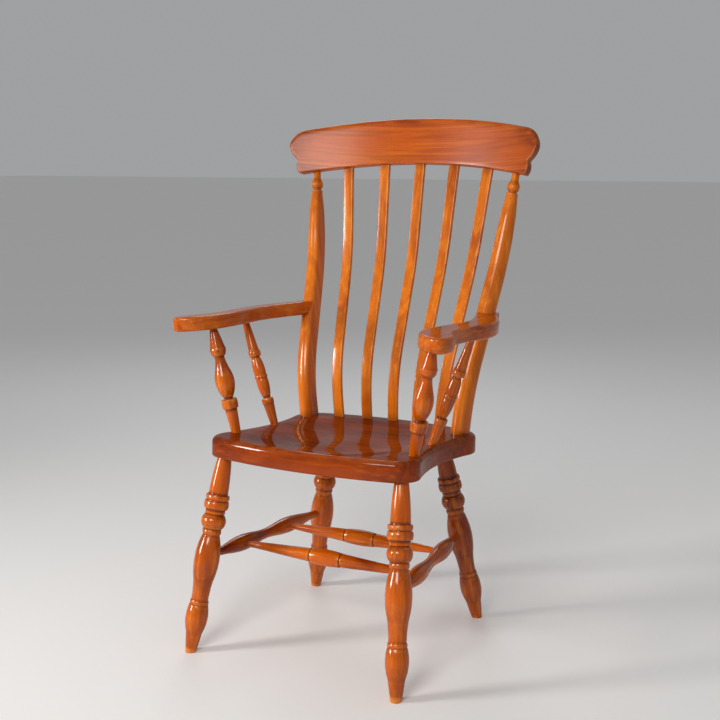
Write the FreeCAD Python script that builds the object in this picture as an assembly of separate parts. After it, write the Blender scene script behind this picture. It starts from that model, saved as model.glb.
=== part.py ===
import FreeCAD, Part
import math
import os

# Lath-back Windsor armchair in turned and bent beech, in millimetres.
# X runs to the right as seen from the front, Y to the back, Z up. The pieces are
# drawn about the middle of the seat, and the chair is centred on its floor box last.

V = FreeCAD.Vector

# Seat
SEAT_HEIGHT = 456.0
SEAT_TILT = 2.9
SEAT_THICKNESS = 43.0
SEAT_FRONT = 221.0
SEAT_REAR = 246.0
SEAT_WAIST_WIDTH = 432.0
SEAT_WAIST_BACK = 30.0
SEAT_FRONT_RADIUS = 900.0
SEAT_FRONT_CORNER = 48.0
SEAT_WAIST_RADIUS = 520.0
SEAT_REAR_CORNER = 64.0
SEAT_REAR_RADIUS = 620.0
SEAT_TOP_ROUND = 12.0
SEAT_BOTTOM_BEVEL = 4.0
DISH_DEPTH = 12.0
DISH_WIDTH = 404.0
DISH_FRONT = 232.0
DISH_REAR = 200.0
DISH_STEPS = 14

# Back: the laths and posts share one bent side profile
BACK_FOOT_INSET = 32.0
BACK_FOOT_RADIUS = 375.0
BACK_STRAIGHT = 32.0
LOWER_BEND_RADIUS = 391.0
BACK_LEAN = 21.0
BACK_LEAN_RUN = 150.0
UPPER_BEND_RADIUS = 716.0
BACK_TOP_LEAN = 11.0

# Laths
LATH_COUNT = 5
LATH_WIDTH = 25.0
LATH_THICKNESS = 10.0
LATH_EDGE_BEVEL = 1.6
LATH_FOOT_PITCH = 65.5
LATH_TOP_PITCH = 90.5
LATH_SEAT_MORTISE = 20.0
LATH_CREST_MORTISE = 26.0

# Crest rail
CREST_HEIGHT_AT_LATHS = 1037.0
CREST_SET_BACK = 140.0
CREST_BEND_RADIUS = 740.0
CREST_THICKNESS = 24.0
CREST_DEPTH = 108.0
CREST_TOP_RADIUS = 1130.0
CREST_BOTTOM_RADIUS = 1200.0
CREST_WIDTH = 635.0
CREST_SHOULDER = 36.0
CREST_EAR_DROP = 36.0
CREST_LOBE_WIDTH = 592.0
CREST_LOBE_HEIGHT = 31.0
CREST_LOBE_ROUND = 6.0
CREST_NOTCH = 6.0
CREST_TOP_ROUND = 10.5

# Back posts
POST_FOOT_INSET = 21.0
POST_TOP_INSET = 39.0
POST_TENON_RADIUS = 14.0
POST_TENON_LENGTH = 28.0
POST_NECK_RADIUS = 8.5
POST_NECK_LENGTH = 2.5
POST_CREST_TENON = 26.0
POST_BALL_RADIUS = 14.4
POST_SHOULDER_RADIUS = 12.0
POST_TAPER_LENGTH = 9.5
POST_GROOVE_RADIUS = 9.8
POST_GROOVE_LENGTH = 3.5
POST_RING_LENGTH = 5.0
POST_COLLAR_RADIUS = 13.2
# Shaft of the post: share of its height, half width, half depth, and how far
# the flat inner face stands in from the centre
POST_SHAFT = (
    (0.00, 22.0, 24.0, 15.0),
    (0.20, 22.0, 23.5, 14.5),
    (0.46, 22.0, 23.5, 14.5),
    (0.66, 21.8, 22.8, 14.0),
    (0.82, 20.8, 21.2, 13.8),
    (0.92, 18.2, 18.4, 13.2),
    (1.00, 13.2, 13.2, 11.4),
)
POST_STEPS = 12

# Arms
ARM_HEIGHT = 716.0
ARM_THICKNESS = 31.0
ARM_RISE = 1.4
ARM_ROLL = 4.0
ARM_EDGE_ROUND = 9.0
ARM_EDGE_BEVEL = 4.0
ARM_EAR = 8.0
ARM_FRONT = 202.0
ARM_NOSE_SKEW = 12.0
# Stations along the arm: share of the way from the post to the front, centre
# line out from the post, half width
ARM_STATIONS = (
    (0.140, 29.0, 29.5),
    (0.262, 49.0, 31.0),
    (0.393, 57.0, 28.0),
    (0.533, 48.0, 25.0),
    (0.678, 41.5, 26.0),
    (0.785, 42.5, 29.0),
    (0.874, 59.0, 42.0),
)
ARM_NOSE_IN = 0.50
ARM_NOSE_OUT = 0.85

# Arm supports: foot out from the seat's waist and behind its front, head out
# from the post and behind the arm's front
FRONT_SUPPORT_OUT = 1.0
FRONT_SUPPORT_BACK = 106.0
FRONT_SUPPORT_HEAD_OUT = 38.4
FRONT_SUPPORT_HEAD_BACK = 74.0
REAR_SUPPORT_OUT = -18.0
REAR_SUPPORT_BACK = 231.0
REAR_SUPPORT_HEAD_OUT = 55.9
REAR_SUPPORT_HEAD_BACK = 224.0
SUPPORT_SEAT_TENON = 24.0
SUPPORT_ARM_TENON = 16.0

# Legs: heads set in from the seat's waist and ends, feet splayed from the heads
FRONT_LEG_INSET = 2.5
FRONT_LEG_BACK = 58.0
FRONT_LEG_SPLAY = 36.5
FRONT_LEG_RAKE = 94.0
REAR_LEG_INSET = 67.0
REAR_LEG_FORE = 76.0
REAR_LEG_SPLAY = 69.0
REAR_LEG_RAKE = 49.0
LEG_TENON_RADIUS = 13.0
LEG_TENON_LENGTH = 26.0

# Stretchers
STRETCHER_HEIGHT = 204.0
SIDE_TENON_RADIUS = 7.8
SIDE_TENON_LENGTH = 18.0
SIDE_SWELL_RADIUS = 18.0
SIDE_WAIST_RADIUS = 11.5
SIDE_MOUTH = 27.0
SIDE_STEPS = 4
FRONT_CROSS_BACK = 114.5
REAR_CROSS_FORE = 137.3
CROSS_TENON_RADIUS = 6.6
CROSS_TENON_LENGTH = 13.0
CROSS_SHOULDER_RADIUS = 15.0
CROSS_BARREL_RADIUS = 15.6
CROSS_BARREL_BELLY = 2.4
CROSS_BARREL_LENGTH = 72.0
CROSS_GROOVE_WIDTH = 3.0
CROSS_GROOVE_DEPTH = 2.6

# Screw that draws each arm against its post, under a pellet at the back
SCREW_RADIUS = 2.4
SCREW_HEAD_RADIUS = 4.6
SCREW_LENGTH = 70.0
PELLET_RADIUS = 5.0
PELLET_LENGTH = 7.0
PELLET_STAND = 0.4
SCREW_HEAD_RIM = 0.8
SCREW_POINT = 6.0
SCREW_TIP_RADIUS = 0.3
SCREW_OUT = 6.0

# Joints
GLUE_GAP = 0.05
GLUE_POCKET = 1.5

# Largest bow of one straight cut along a turned curve
CURVE_STEP = 1.0

# Turned members from the floor up: name, length, lower radius, upper radius, belly
LEG_FOOT = (
    ("foot", 42.0, 11.5, 17.6, 0.0),
    ("vase", 62.0, 17.6, 20.6, 5.0),
    ("ring", 10.0, 20.2, 20.2, 0.0),
    ("lower baluster", 44.0, 18.4, 21.6, -0.8),
    ("upper baluster", 98.0, 21.6, 19.4, 6.9),
    ("fillet", 4.0, 18.8, 18.8, 0.0),
    ("bead", 11.0, 20.4, 20.4, 0.0),
    ("ball", 34.0, 20.6, 20.6, 0.0),
    ("upper fillet", 11.0, 21.4, 21.4, 0.0),
    ("broad ring", 17.0, 26.6, 26.6, 0.0),
    ("groove", 2.5, 23.0, 23.0, 0.0),
    ("narrow ring", 11.0, 25.6, 25.6, 0.0),
)
FRONT_LEG_NECK = 87.6
REAR_LEG_NECK = 67.6
LEG_NECK_RADIUS = 21.0
LEG_NECK_BELLY = 1.5
LEG_HEAD_RADIUS = 14.4

# Turned members from the seat up, above the plain lower cone
FRONT_SUPPORT_FOOT_RADIUS = 10.4
FRONT_SUPPORT_CONE_RADIUS = 13.6
FRONT_SUPPORT_CONE = 54.0
FRONT_SUPPORT_BODY = (
    ("collar", 21.0, 17.6, 17.6, 0.0),
    ("groove", 4.0, 9.8, 9.8, 0.0),
    ("vase", 60.0, 11.0, 16.3, 6.5),
    ("shoulder", 26.0, 16.3, 10.4, 0.0),
    ("cove", 6.0, 10.6, 10.6, 0.0),
    ("cup", 15.0, 12.6, 17.8, 0.9),
    ("rim", 3.0, 17.8, 17.8, 0.0),
    ("head cone", 44.0, 17.0, 7.7, 0.0),
)
FRONT_SUPPORT_HEAD_RADIUS = 7.5
REAR_SUPPORT_FOOT_RADIUS = 8.6
REAR_SUPPORT_CONE_RADIUS = 12.4
REAR_SUPPORT_CONE = 52.0
REAR_SUPPORT_BODY = (
    ("collar", 13.0, 13.5, 13.5, 0.0),
    ("neck", 5.0, 8.6, 8.6, 0.0),
    ("lower body", 42.0, 9.4, 13.2, 2.2),
    ("middle ring", 8.0, 14.5, 14.5, 0.0),
    ("upper body", 38.0, 13.4, 11.6, 1.4),
    ("groove", 5.0, 10.8, 10.8, 0.0),
    ("ring", 15.0, 13.1, 13.1, 0.0),
    ("head cone", 69.0, 12.4, 7.4, 0.0),
)
REAR_SUPPORT_HEAD_RADIUS = 7.0

# Places that follow from the sizes above
BACK_FOOT_Y = SEAT_REAR - BACK_FOOT_INSET
CREST_Y = BACK_FOOT_Y + CREST_SET_BACK
POST_FOOT_X = SEAT_WAIST_WIDTH / 2.0 - POST_FOOT_INSET
POST_TOP_X = CREST_LOBE_WIDTH / 2.0 - POST_TOP_INSET
FRONT_HEAD_X = SEAT_WAIST_WIDTH / 2.0 - FRONT_LEG_INSET
FRONT_HEAD_Y = FRONT_LEG_BACK - SEAT_FRONT
REAR_HEAD_X = SEAT_WAIST_WIDTH / 2.0 - REAR_LEG_INSET
REAR_HEAD_Y = SEAT_REAR - REAR_LEG_FORE


# General shapes

def belly_points(foot, head, belly):
    """Points of a bowed stretch, as many as its bow needs, ending at the head."""
    steps = math.ceil(math.sqrt(abs(belly) / CURVE_STEP))
    spots = []
    for k in range(1, steps + 1):
        share = k / steps
        bow = 4.0 * belly * share * (1.0 - share)
        spots.append(foot + (head - foot) * share + V(bow, 0, 0))
    return spots


def turned(members, start=0.0):
    """Revolve a stack of members about Z, from Z = start up."""
    z = start
    corner = V(0, 0, z)
    edges = []
    for name, length, low, high, belly in members:
        foot = V(low, 0, z)
        z += length
        head = V(high, 0, z)
        if (foot - corner).Length > 1e-6:
            edges.append(Part.makeLine(corner, foot))
        if name == "ball":
            rise = (length ** 2 + high ** 2 - low ** 2) / (2.0 * length)
            middle = foot + V(math.hypot(low, rise) - low, 0, rise)
            edges.append(Part.Arc(foot, middle, head).toShape())
        else:
            last = foot
            for spot in belly_points(foot, head, belly) or [head]:
                edges.append(Part.makeLine(last, spot))
                last = spot
        corner = head
    edges.append(Part.makeLine(corner, V(0, 0, z)))
    edges.append(Part.makeLine(V(0, 0, z), V(0, 0, start)))
    profile = Part.Face(Part.Wire(edges))
    return profile.revolve(V(0, 0, 0), V(0, 0, 1), 360)


def stretched(members, span):
    """Members drawn out or in, so that together they fill a span."""
    share = span / sum(member[1] for member in members)
    return [(member[0], member[1] * share) + tuple(member[2:]) for member in members]


def along(shape, start, end):
    """Stand a shape drawn up Z on the line from start to end."""
    turn = FreeCAD.Rotation(V(0, 0, 1), end - start)
    shape.Placement = FreeCAD.Placement(start, turn)
    return shape


def rod(radius, start, end):
    return along(Part.makeCylinder(radius, (end - start).Length), start, end)


def socket(radius, mouth, inward, depth):
    """Round hole whose mouth runs a little outside the surface."""
    axis = inward.normalize()
    return rod(radius + GLUE_GAP, mouth - axis * 20.0, mouth + axis * (depth + GLUE_POCKET))


def mirrored(shape):
    return shape.mirror(V(0, 0, 0), V(1, 0, 0))


# Seat

def rim_height(y):
    """Height of the seat's rim at a distance behind the middle."""
    return SEAT_HEIGHT - math.tan(math.radians(SEAT_TILT)) * y


def rim_point(x, y):
    return V(x, y, rim_height(y))


def under_seat(x, y):
    drop = SEAT_THICKNESS / math.cos(math.radians(SEAT_TILT))
    return V(x, y, rim_height(y) - drop)


def on_seat(shape):
    """Lay a shape drawn on the level rim plane onto the tilted seat."""
    turn = FreeCAD.Rotation(V(1, 0, 0), -SEAT_TILT)
    shape.Placement = FreeCAD.Placement(V(0, 0, SEAT_HEIGHT), turn).multiply(shape.Placement)
    return shape


def corner_centre(end_y, end_reach, side_reach):
    """Centre of a corner arc that touches the end curve and the waist curve."""
    side_x = SEAT_WAIST_WIDTH / 2.0 + SEAT_WAIST_RADIUS
    rise = SEAT_WAIST_BACK - end_y
    apart = math.hypot(side_x, rise)
    share = (end_reach ** 2 - side_reach ** 2 + apart ** 2) / (2.0 * apart)
    off = math.sqrt(end_reach ** 2 - share ** 2)
    way = V(side_x / apart, rise / apart, 0)
    across = V(way.y, -way.x, 0) * math.copysign(off, rise)
    return V(0, end_y, 0) + way * share - across


def seat_outline():
    """Bowed front, rounded corners, waisted sides and a bowed back, all tangent arcs."""
    side = V(SEAT_WAIST_WIDTH / 2.0 + SEAT_WAIST_RADIUS, SEAT_WAIST_BACK, 0)
    front = V(0, SEAT_FRONT_RADIUS - SEAT_FRONT, 0)
    rear = V(0, SEAT_REAR - SEAT_REAR_RADIUS, 0)
    fore = corner_centre(front.y, SEAT_FRONT_RADIUS - SEAT_FRONT_CORNER,
                         SEAT_WAIST_RADIUS + SEAT_FRONT_CORNER)
    aft = corner_centre(rear.y, SEAT_REAR_RADIUS - SEAT_REAR_CORNER,
                        SEAT_WAIST_RADIUS + SEAT_REAR_CORNER)
    nose = fore + (fore - front).normalize() * SEAT_FRONT_CORNER
    hip = fore + (side - fore).normalize() * SEAT_FRONT_CORNER
    flank = aft + (side - aft).normalize() * SEAT_REAR_CORNER
    tail = aft + (aft - rear).normalize() * SEAT_REAR_CORNER
    half = [
        Part.Arc(nose, fore + V(1, -1, 0).normalize() * SEAT_FRONT_CORNER, hip),
        Part.Arc(hip, V(SEAT_WAIST_WIDTH / 2.0, SEAT_WAIST_BACK, 0), flank),
        Part.Arc(flank, aft + V(1, 1, 0).normalize() * SEAT_REAR_CORNER, tail),
    ]
    edges = [arc.toShape() for arc in half]
    edges += [mirrored(edge) for edge in edges]
    edges.append(Part.Arc(nose, V(0, -SEAT_FRONT, 0), V(-nose.x, nose.y, 0)).toShape())
    edges.append(Part.Arc(tail, V(0, SEAT_REAR, 0), V(-tail.x, tail.y, 0)).toShape())
    return Part.Wire(Part.__sortEdges__(edges))


def dish_drop(x, y):
    """Depth of the hollow: full in the middle, fading out at the rim."""
    reach = DISH_REAR if y > 0 else DISH_FRONT
    spread = (abs(2.0 * x / DISH_WIDTH) ** 2.6 + abs(y / reach) ** 2.6) ** (1 / 2.6)
    if spread >= 1.0:
        return 0.0
    return DISH_DEPTH * (1.0 - spread ** 3) ** 1.5


def dish():
    """Everything above the hollowed top of the seat."""
    rows = []
    for i in range(DISH_STEPS + 1):
        x = (2.0 * i / DISH_STEPS - 1.0) * SEAT_WAIST_WIDTH * 0.68
        row = []
        for j in range(DISH_STEPS + 1):
            y = (2.0 * j / DISH_STEPS - 1.0) * (SEAT_FRONT + SEAT_REAR) * 0.62
            row.append(V(x, y, 0.5 - dish_drop(x, y)))
        rows.append(row)
    surface = Part.BSplineSurface()
    surface.interpolate(rows)
    return surface.toShape().extrude(V(0, 0, SEAT_THICKNESS))


def rim_edges(block, height):
    """Edges of a plate that lie flat at one height."""
    level = [e for e in block.Edges if e.BoundBox.ZLength < 0.01]
    return [e for e in level if abs(e.BoundBox.ZMax - height) < 0.01]


def seat_blank():
    block = Part.Face(seat_outline()).extrude(V(0, 0, -SEAT_THICKNESS))
    block = block.makeFillet(SEAT_TOP_ROUND, rim_edges(block, 0.0))
    block = block.makeChamfer(SEAT_BOTTOM_BEVEL, rim_edges(block, -SEAT_THICKNESS))
    return on_seat(block.cut(dish()))


# Back: one bent side profile, set in the leaning plane of each piece

def bend_stations(height):
    """Line and arc joints of the profile: height, set-back and lean angle."""
    lean = math.radians(BACK_LEAN)
    top = math.radians(BACK_TOP_LEAN)
    w, s = BACK_STRAIGHT, 0.0
    joints = [(w, s, 0.0)]
    w += LOWER_BEND_RADIUS * math.sin(lean)
    s += LOWER_BEND_RADIUS * (1.0 - math.cos(lean))
    joints.append((w, s, lean))
    w += BACK_LEAN_RUN * math.cos(lean)
    s += BACK_LEAN_RUN * math.sin(lean)
    joints.append((w, s, lean))
    w += UPPER_BEND_RADIUS * (math.sin(lean) - math.sin(top))
    s += UPPER_BEND_RADIUS * (math.cos(top) - math.cos(lean))
    joints.append((w, s, top))
    joints.append((height, s + (height - w) * math.tan(top), top))
    return joints


def back_profile(w):
    """Set-back and lean angle of the profile at a height above the seat."""
    joints = bend_stations(w)
    lean = math.radians(BACK_LEAN)
    top = math.radians(BACK_TOP_LEAN)
    if w <= joints[0][0]:
        return 0.0, 0.0
    if w <= joints[1][0]:
        angle = math.asin((w - joints[0][0]) / LOWER_BEND_RADIUS)
        return LOWER_BEND_RADIUS * (1.0 - math.cos(angle)), angle
    if w <= joints[2][0]:
        return joints[1][1] + (w - joints[1][0]) * math.tan(lean), lean
    if w <= joints[3][0]:
        angle = math.asin(math.sin(lean) - (w - joints[2][0]) / UPPER_BEND_RADIUS)
        return joints[2][1] + UPPER_BEND_RADIUS * (math.cos(angle) - math.cos(lean)), angle
    return joints[3][1] + (w - joints[3][0]) * math.tan(top), top


def foot_y(x):
    return BACK_FOOT_Y - BACK_FOOT_RADIUS + math.sqrt(BACK_FOOT_RADIUS ** 2 - x ** 2)


def crest_y(x):
    return CREST_Y - CREST_BEND_RADIUS + math.sqrt(CREST_BEND_RADIUS ** 2 - x ** 2)


def crest_underside(x):
    """Height of the crest rail's lower edge above the chair's middle line."""
    sag = CREST_BOTTOM_RADIUS - math.sqrt(CREST_BOTTOM_RADIUS ** 2 - x ** 2)
    return CREST_HEIGHT_AT_LATHS - sag


def back_frame(foot_x, top_x):
    """Placement and height of a back piece from the seat up to the crest rail."""
    foot = rim_point(foot_x, foot_y(foot_x))
    head = V(top_x, crest_y(top_x), crest_underside(top_x))
    rise = head.z - foot.z
    height = math.hypot(head.x - foot.x, rise)
    fan = math.degrees(math.atan2(head.x - foot.x, rise))
    spare = head.y - foot.y - back_profile(height)[0]
    lean = math.degrees(math.atan2(spare, height))
    turn = FreeCAD.Rotation(V(0, 1, 0), fan).multiply(FreeCAD.Rotation(V(1, 0, 0), -lean))
    return FreeCAD.Placement(foot, turn), height


def side_line(offset, low, high):
    """Edges of the bent profile, set off to the back by a distance."""
    joints = bend_stations(high)
    spots = [(low, 0.0, 0.0)] + joints
    edges = []
    last = None
    for k, (w, s, angle) in enumerate(spots):
        here = V(0, s + offset * math.cos(angle), w - offset * math.sin(angle))
        if k in (2, 4):
            middle = (spots[k - 1][2] + angle) / 2.0
            w_mid, s_mid = bend_middle(k, middle)
            via = V(0, s_mid + offset * math.cos(middle), w_mid - offset * math.sin(middle))
            edges.append(Part.Arc(last, via, here).toShape())
        elif last is not None:
            edges.append(Part.makeLine(last, here))
        last = here
    return edges


def bend_middle(k, angle):
    """Height and set-back halfway round the lower or the upper bend."""
    joints = bend_stations(0.0)
    lean = math.radians(BACK_LEAN)
    if k == 2:
        w = BACK_STRAIGHT + LOWER_BEND_RADIUS * math.sin(angle)
        return w, LOWER_BEND_RADIUS * (1.0 - math.cos(angle))
    w = joints[2][0] + UPPER_BEND_RADIUS * (math.sin(lean) - math.sin(angle))
    return w, joints[2][1] + UPPER_BEND_RADIUS * (math.cos(angle) - math.cos(lean))


# Laths

def lath_strip(foot_x, top_x, gap):
    """Bent strip, with its ends inside the seat and the crest rail."""
    frame, height = back_frame(foot_x, top_x)
    low = -LATH_SEAT_MORTISE - (GLUE_POCKET if gap else 0.0)
    high = height + LATH_CREST_MORTISE + (GLUE_POCKET if gap else 0.0)
    half = LATH_THICKNESS / 2.0 + gap
    front = side_line(-half, low, high)
    back = side_line(half, low, high)
    foot = Part.makeLine(front[0].Vertexes[0].Point, back[0].Vertexes[0].Point)
    head = Part.makeLine(front[-1].Vertexes[-1].Point, back[-1].Vertexes[-1].Point)
    face = Part.Face(Part.Wire(Part.__sortEdges__(front + back + [foot, head])))
    width = LATH_WIDTH + 2.0 * gap
    face.translate(V(-width / 2.0, 0, 0))
    strip = face.extrude(V(width, 0, 0))
    if not gap:
        long_edges = [e for e in strip.Edges if e.BoundBox.XLength < 0.01]
        sides = [e for e in long_edges if e.Length > LATH_THICKNESS * 1.5]
        strip = strip.makeChamfer(LATH_EDGE_BEVEL, sides)
    strip.Placement = frame
    return strip


def lath_places():
    middle = (LATH_COUNT + 1) / 2.0
    for k in range(1, LATH_COUNT + 1):
        yield k, (k - middle) * LATH_FOOT_PITCH, (k - middle) * LATH_TOP_PITCH


# Crest rail

def crest_outline():
    """Front view of the rail: arched, with an ear and a small lobe at each end."""
    half = CREST_WIDTH / 2.0
    lobe = CREST_LOBE_WIDTH / 2.0
    shoulder = half - CREST_SHOULDER
    foot = lobe - CREST_LOBE_ROUND

    def upper(x):
        return V(x, 0, CREST_DEPTH - CREST_TOP_RADIUS + math.sqrt(CREST_TOP_RADIUS ** 2 - x ** 2))

    def lower(x):
        return V(x, 0, math.sqrt(CREST_BOTTOM_RADIUS ** 2 - x ** 2) - CREST_BOTTOM_RADIUS)

    ear = V(half, 0, upper(shoulder).z - CREST_EAR_DROP)
    notch = V(lobe - CREST_NOTCH / 6.0, 0, lower(foot).z + CREST_LOBE_HEIGHT)
    throat = notch + V(CREST_NOTCH, 0, CREST_NOTCH)
    ear_round = V(half - 0.22 * CREST_SHOULDER, 0, ear.z + 0.50 * CREST_EAR_DROP)
    ear_side = V(half - 0.2 * (half - throat.x), 0, (ear.z + throat.z) / 2.0)
    lobe_side = V(lobe + CREST_NOTCH / 4.0, 0, notch.z - 0.48 * CREST_LOBE_HEIGHT)
    right = [
        Part.Arc(upper(0), upper(shoulder / 2), upper(shoulder)),
        Part.Arc(upper(shoulder), ear_round, ear),
        Part.Arc(ear, ear_side, throat),
        Part.LineSegment(throat, notch),
        Part.Arc(notch, lobe_side, lower(foot)),
        Part.Arc(lower(foot), lower(foot / 2), lower(0)),
    ]
    half_edges = [g.toShape() for g in right]
    edges = half_edges + [mirrored(e) for e in half_edges]
    return Part.Wire(Part.__sortEdges__(edges))


def on_crest(shape):
    """Lean a shape drawn upright onto the back's top slope."""
    turn = FreeCAD.Rotation(V(1, 0, 0), -BACK_TOP_LEAN)
    shape.Placement = FreeCAD.Placement(V(0, CREST_Y, CREST_HEIGHT_AT_LATHS), turn)
    return shape


def crest_blank():
    inner = CREST_BEND_RADIUS - CREST_THICKNESS / 2.0
    outer = CREST_BEND_RADIUS + CREST_THICKNESS / 2.0
    low = -CREST_DEPTH
    tube = Part.makeCylinder(outer, 3.0 * CREST_DEPTH, V(0, -CREST_BEND_RADIUS, low))
    tube = tube.cut(Part.makeCylinder(inner, 3.0 * CREST_DEPTH, V(0, -CREST_BEND_RADIUS, low)))
    reach = CREST_BEND_RADIUS / 2.0
    plate = Part.Face(crest_outline())
    plate.translate(V(0, -reach, 0))
    rail = tube.common(plate.extrude(V(0, 2.0 * reach, 0)))
    crown = [e for e in rail.Edges if long_edge_height(e) > CREST_DEPTH / 2.0]
    rail = rail.makeFillet(min(CREST_TOP_ROUND, 0.45 * CREST_THICKNESS), crown)
    return on_crest(rail)


def long_edge_height(edge):
    """Mean height of a long edge; short edges count as none."""
    if edge.Length < CREST_WIDTH / 4.0:
        return -CREST_DEPTH
    return edge.CenterOfMass.z


# Back posts

def post_section(centre, angle, half_width, half_depth, flat):
    """Oval with its inner side cut flat, square to the post's line."""
    half_flat = half_depth * math.sqrt(1.0 - (flat / half_width) ** 2)

    def spot(x, y):
        return V(x, centre.y + y * math.cos(angle), centre.z - y * math.sin(angle))

    side = half_width * 0.62
    depth = half_depth * math.sqrt(1.0 - 0.62 ** 2)
    inner = Part.makeLine(spot(-flat, half_flat), spot(-flat, -half_flat))
    front = Part.Arc(spot(-flat, -half_flat), spot(0, -half_depth), spot(side, -depth)).toShape()
    outer = Part.Arc(spot(side, -depth), spot(half_width, 0), spot(side, depth)).toShape()
    back = Part.Arc(spot(side, depth), spot(0, half_depth), spot(-flat, half_flat)).toShape()
    return Part.Wire([inner, front, outer, back])


def post_size(share):
    """Half width, half depth and flat of the shaft at a share of its height."""
    for low, high in zip(POST_SHAFT, POST_SHAFT[1:]):
        if share <= high[0]:
            break
    mix = (share - low[0]) / (high[0] - low[0])
    return [a + (b - a) * mix for a, b in zip(low[1:], high[1:])]


def post_head_members():
    """The turned head: a bulb between a groove and the neck in the crest rail."""
    below = math.sqrt(POST_BALL_RADIUS ** 2 - POST_GROOVE_RADIUS ** 2)
    above = math.sqrt(POST_BALL_RADIUS ** 2 - POST_SHOULDER_RADIUS ** 2)
    return (
        ("collar", POST_RING_LENGTH, POST_COLLAR_RADIUS, POST_COLLAR_RADIUS, 0.0),
        ("groove", POST_GROOVE_LENGTH, POST_GROOVE_RADIUS, POST_GROOVE_RADIUS, 0.0),
        ("ball", below + above, POST_GROOVE_RADIUS, POST_SHOULDER_RADIUS, 0.0),
        ("taper", POST_TAPER_LENGTH, POST_SHOULDER_RADIUS, POST_NECK_RADIUS, 0.0),
        ("neck", POST_NECK_LENGTH + POST_CREST_TENON, POST_NECK_RADIUS, POST_NECK_RADIUS, 0.0),
    )


def post_shaft_height(height):
    head = sum(member[1] for member in post_head_members()) - POST_CREST_TENON
    return height - head * math.cos(math.radians(BACK_TOP_LEAN))


def post_whole():
    """Right-hand post in its own plane: bent shaft, turned head, both ends long."""
    frame, height = back_frame(POST_FOOT_X, POST_TOP_X)
    shaft = post_shaft_height(height)
    wires = [post_section(V(0, 0, -SEAT_THICKNESS), 0.0, *POST_SHAFT[0][1:])]
    for k in range(POST_STEPS + 1):
        share = k / POST_STEPS
        s, angle = back_profile(share * shaft)
        wires.append(post_section(V(0, s, share * shaft), angle, *post_size(share)))
    body = Part.makeLoft(wires, True, True)
    head = turned(post_head_members())
    up = V(0, math.sin(angle), math.cos(angle))
    head = along(head, V(0, s, shaft), V(0, s, shaft) + up)
    whole = body.fuse(head)
    whole.Placement = frame
    return whole


def post_head_line():
    """Line of the turned head, from the shaft into the crest rail."""
    frame, height = back_frame(POST_FOOT_X, POST_TOP_X)
    shaft = post_shaft_height(height)
    s, angle = back_profile(shaft)
    start = frame.multVec(V(0, s, shaft))
    length = sum(member[1] for member in post_head_members())
    tip = frame.multVec(V(0, s + length * math.sin(angle), shaft + length * math.cos(angle)))
    return start, tip


def post_centre(z):
    """Middle of the post at a height above the floor."""
    frame, height = back_frame(POST_FOOT_X, POST_TOP_X)
    w = (z - frame.Base.z) / math.cos(math.atan2(POST_TOP_X - POST_FOOT_X, height))
    return frame.multVec(V(0, back_profile(w)[0], w))


def post_tenon(radius, length):
    frame, height = back_frame(POST_FOOT_X, POST_TOP_X)
    tenon = Part.makeCylinder(radius, length + SEAT_THICKNESS / 2.0, V(0, 0, -length))
    tenon.Placement = frame
    return tenon


# Arms

def arm_plane(shape):
    """Tilt a shape drawn flat at arm height: up to the front, down to the side."""
    post = post_centre(ARM_HEIGHT)
    turn = FreeCAD.Rotation(V(1, 0, 0), -ARM_RISE).multiply(FreeCAD.Rotation(V(0, 1, 0), ARM_ROLL))
    shape.Placement = FreeCAD.Placement(post, turn)
    return shape


def rounded(points, sharp):
    """Closed outline with an arc at each corner, apart from the sharp ones."""
    count = len(points)
    edges = []
    ends = []
    for k, here in enumerate(points):
        back = points[k - 1] - here
        ahead = points[(k + 1) % count] - here
        if k in sharp:
            ends.append((here, here))
            continue
        reach = min(back.Length, ahead.Length) * 0.49
        near, far = here + back.normalize() * reach, here + ahead.normalize() * reach
        half = (points[k - 1] - here).getAngle(points[(k + 1) % count] - here) / 2.0
        radius = reach * math.tan(half)
        inward = ((near + far) * 0.5 - here).normalize()
        centre = here + inward * math.hypot(reach, radius)
        edges.append(Part.Arc(near, centre - inward * radius, far).toShape())
        ends.append((near, far))
    for k in range(count):
        edges.append(Part.makeLine(ends[k][1], ends[(k + 1) % count][0]))
    return Part.Wire(Part.__sortEdges__(edges))


def arm_outline():
    """Plan of the arm about the post: slim neck, round paddle, ear round the post."""
    _, wide, deep, flat = POST_SHAFT[2]
    front = ARM_FRONT + post_centre(ARM_HEIGHT).y
    inner = [V(-flat, -deep * 0.72, 0)]
    outer = []
    for share, out, half in ARM_STATIONS:
        inner.append(V(out - half, -share * front, 0))
        outer.append(V(out + half, -share * front, 0))
    nose = [V(out - half * ARM_NOSE_IN, ARM_NOSE_SKEW - front, 0),
            V(out + half * ARM_NOSE_OUT, -ARM_NOSE_SKEW - front, 0)]
    ear = [V(wide + ARM_EAR, -6.0, 0), V(wide + ARM_EAR * 0.4, deep * 0.72, 0), V(0, 0, 0)]
    points = inner + nose + outer[::-1] + ear
    last = len(points) - 1
    return rounded(points, (0, last - 1, last))


def arm_blank():
    board = Part.Face(arm_outline()).extrude(V(0, 0, -ARM_THICKNESS))
    reach = POST_SHAFT[2][2]
    top = [e for e in rim_edges(board, 0.0) if e.BoundBox.YMin < -reach]
    board = board.makeFillet(ARM_EDGE_ROUND, top)
    low = [e for e in rim_edges(board, -ARM_THICKNESS) if e.BoundBox.YMin < -reach]
    board = board.makeChamfer(ARM_EDGE_BEVEL, low)
    return arm_plane(board)


def arm_underside(x, y):
    """Point of the arm's underside below a place in plan."""
    plate = arm_plane(Part.makeBox(1, 1, 1))
    normal = plate.Placement.Rotation.multVec(V(0, 0, 1))
    base = plate.Placement.multVec(V(0, 0, -ARM_THICKNESS))
    z = base.z - (normal.x * (x - base.x) + normal.y * (y - base.y)) / normal.z
    return V(x, y, z)


# Arm supports

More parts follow.
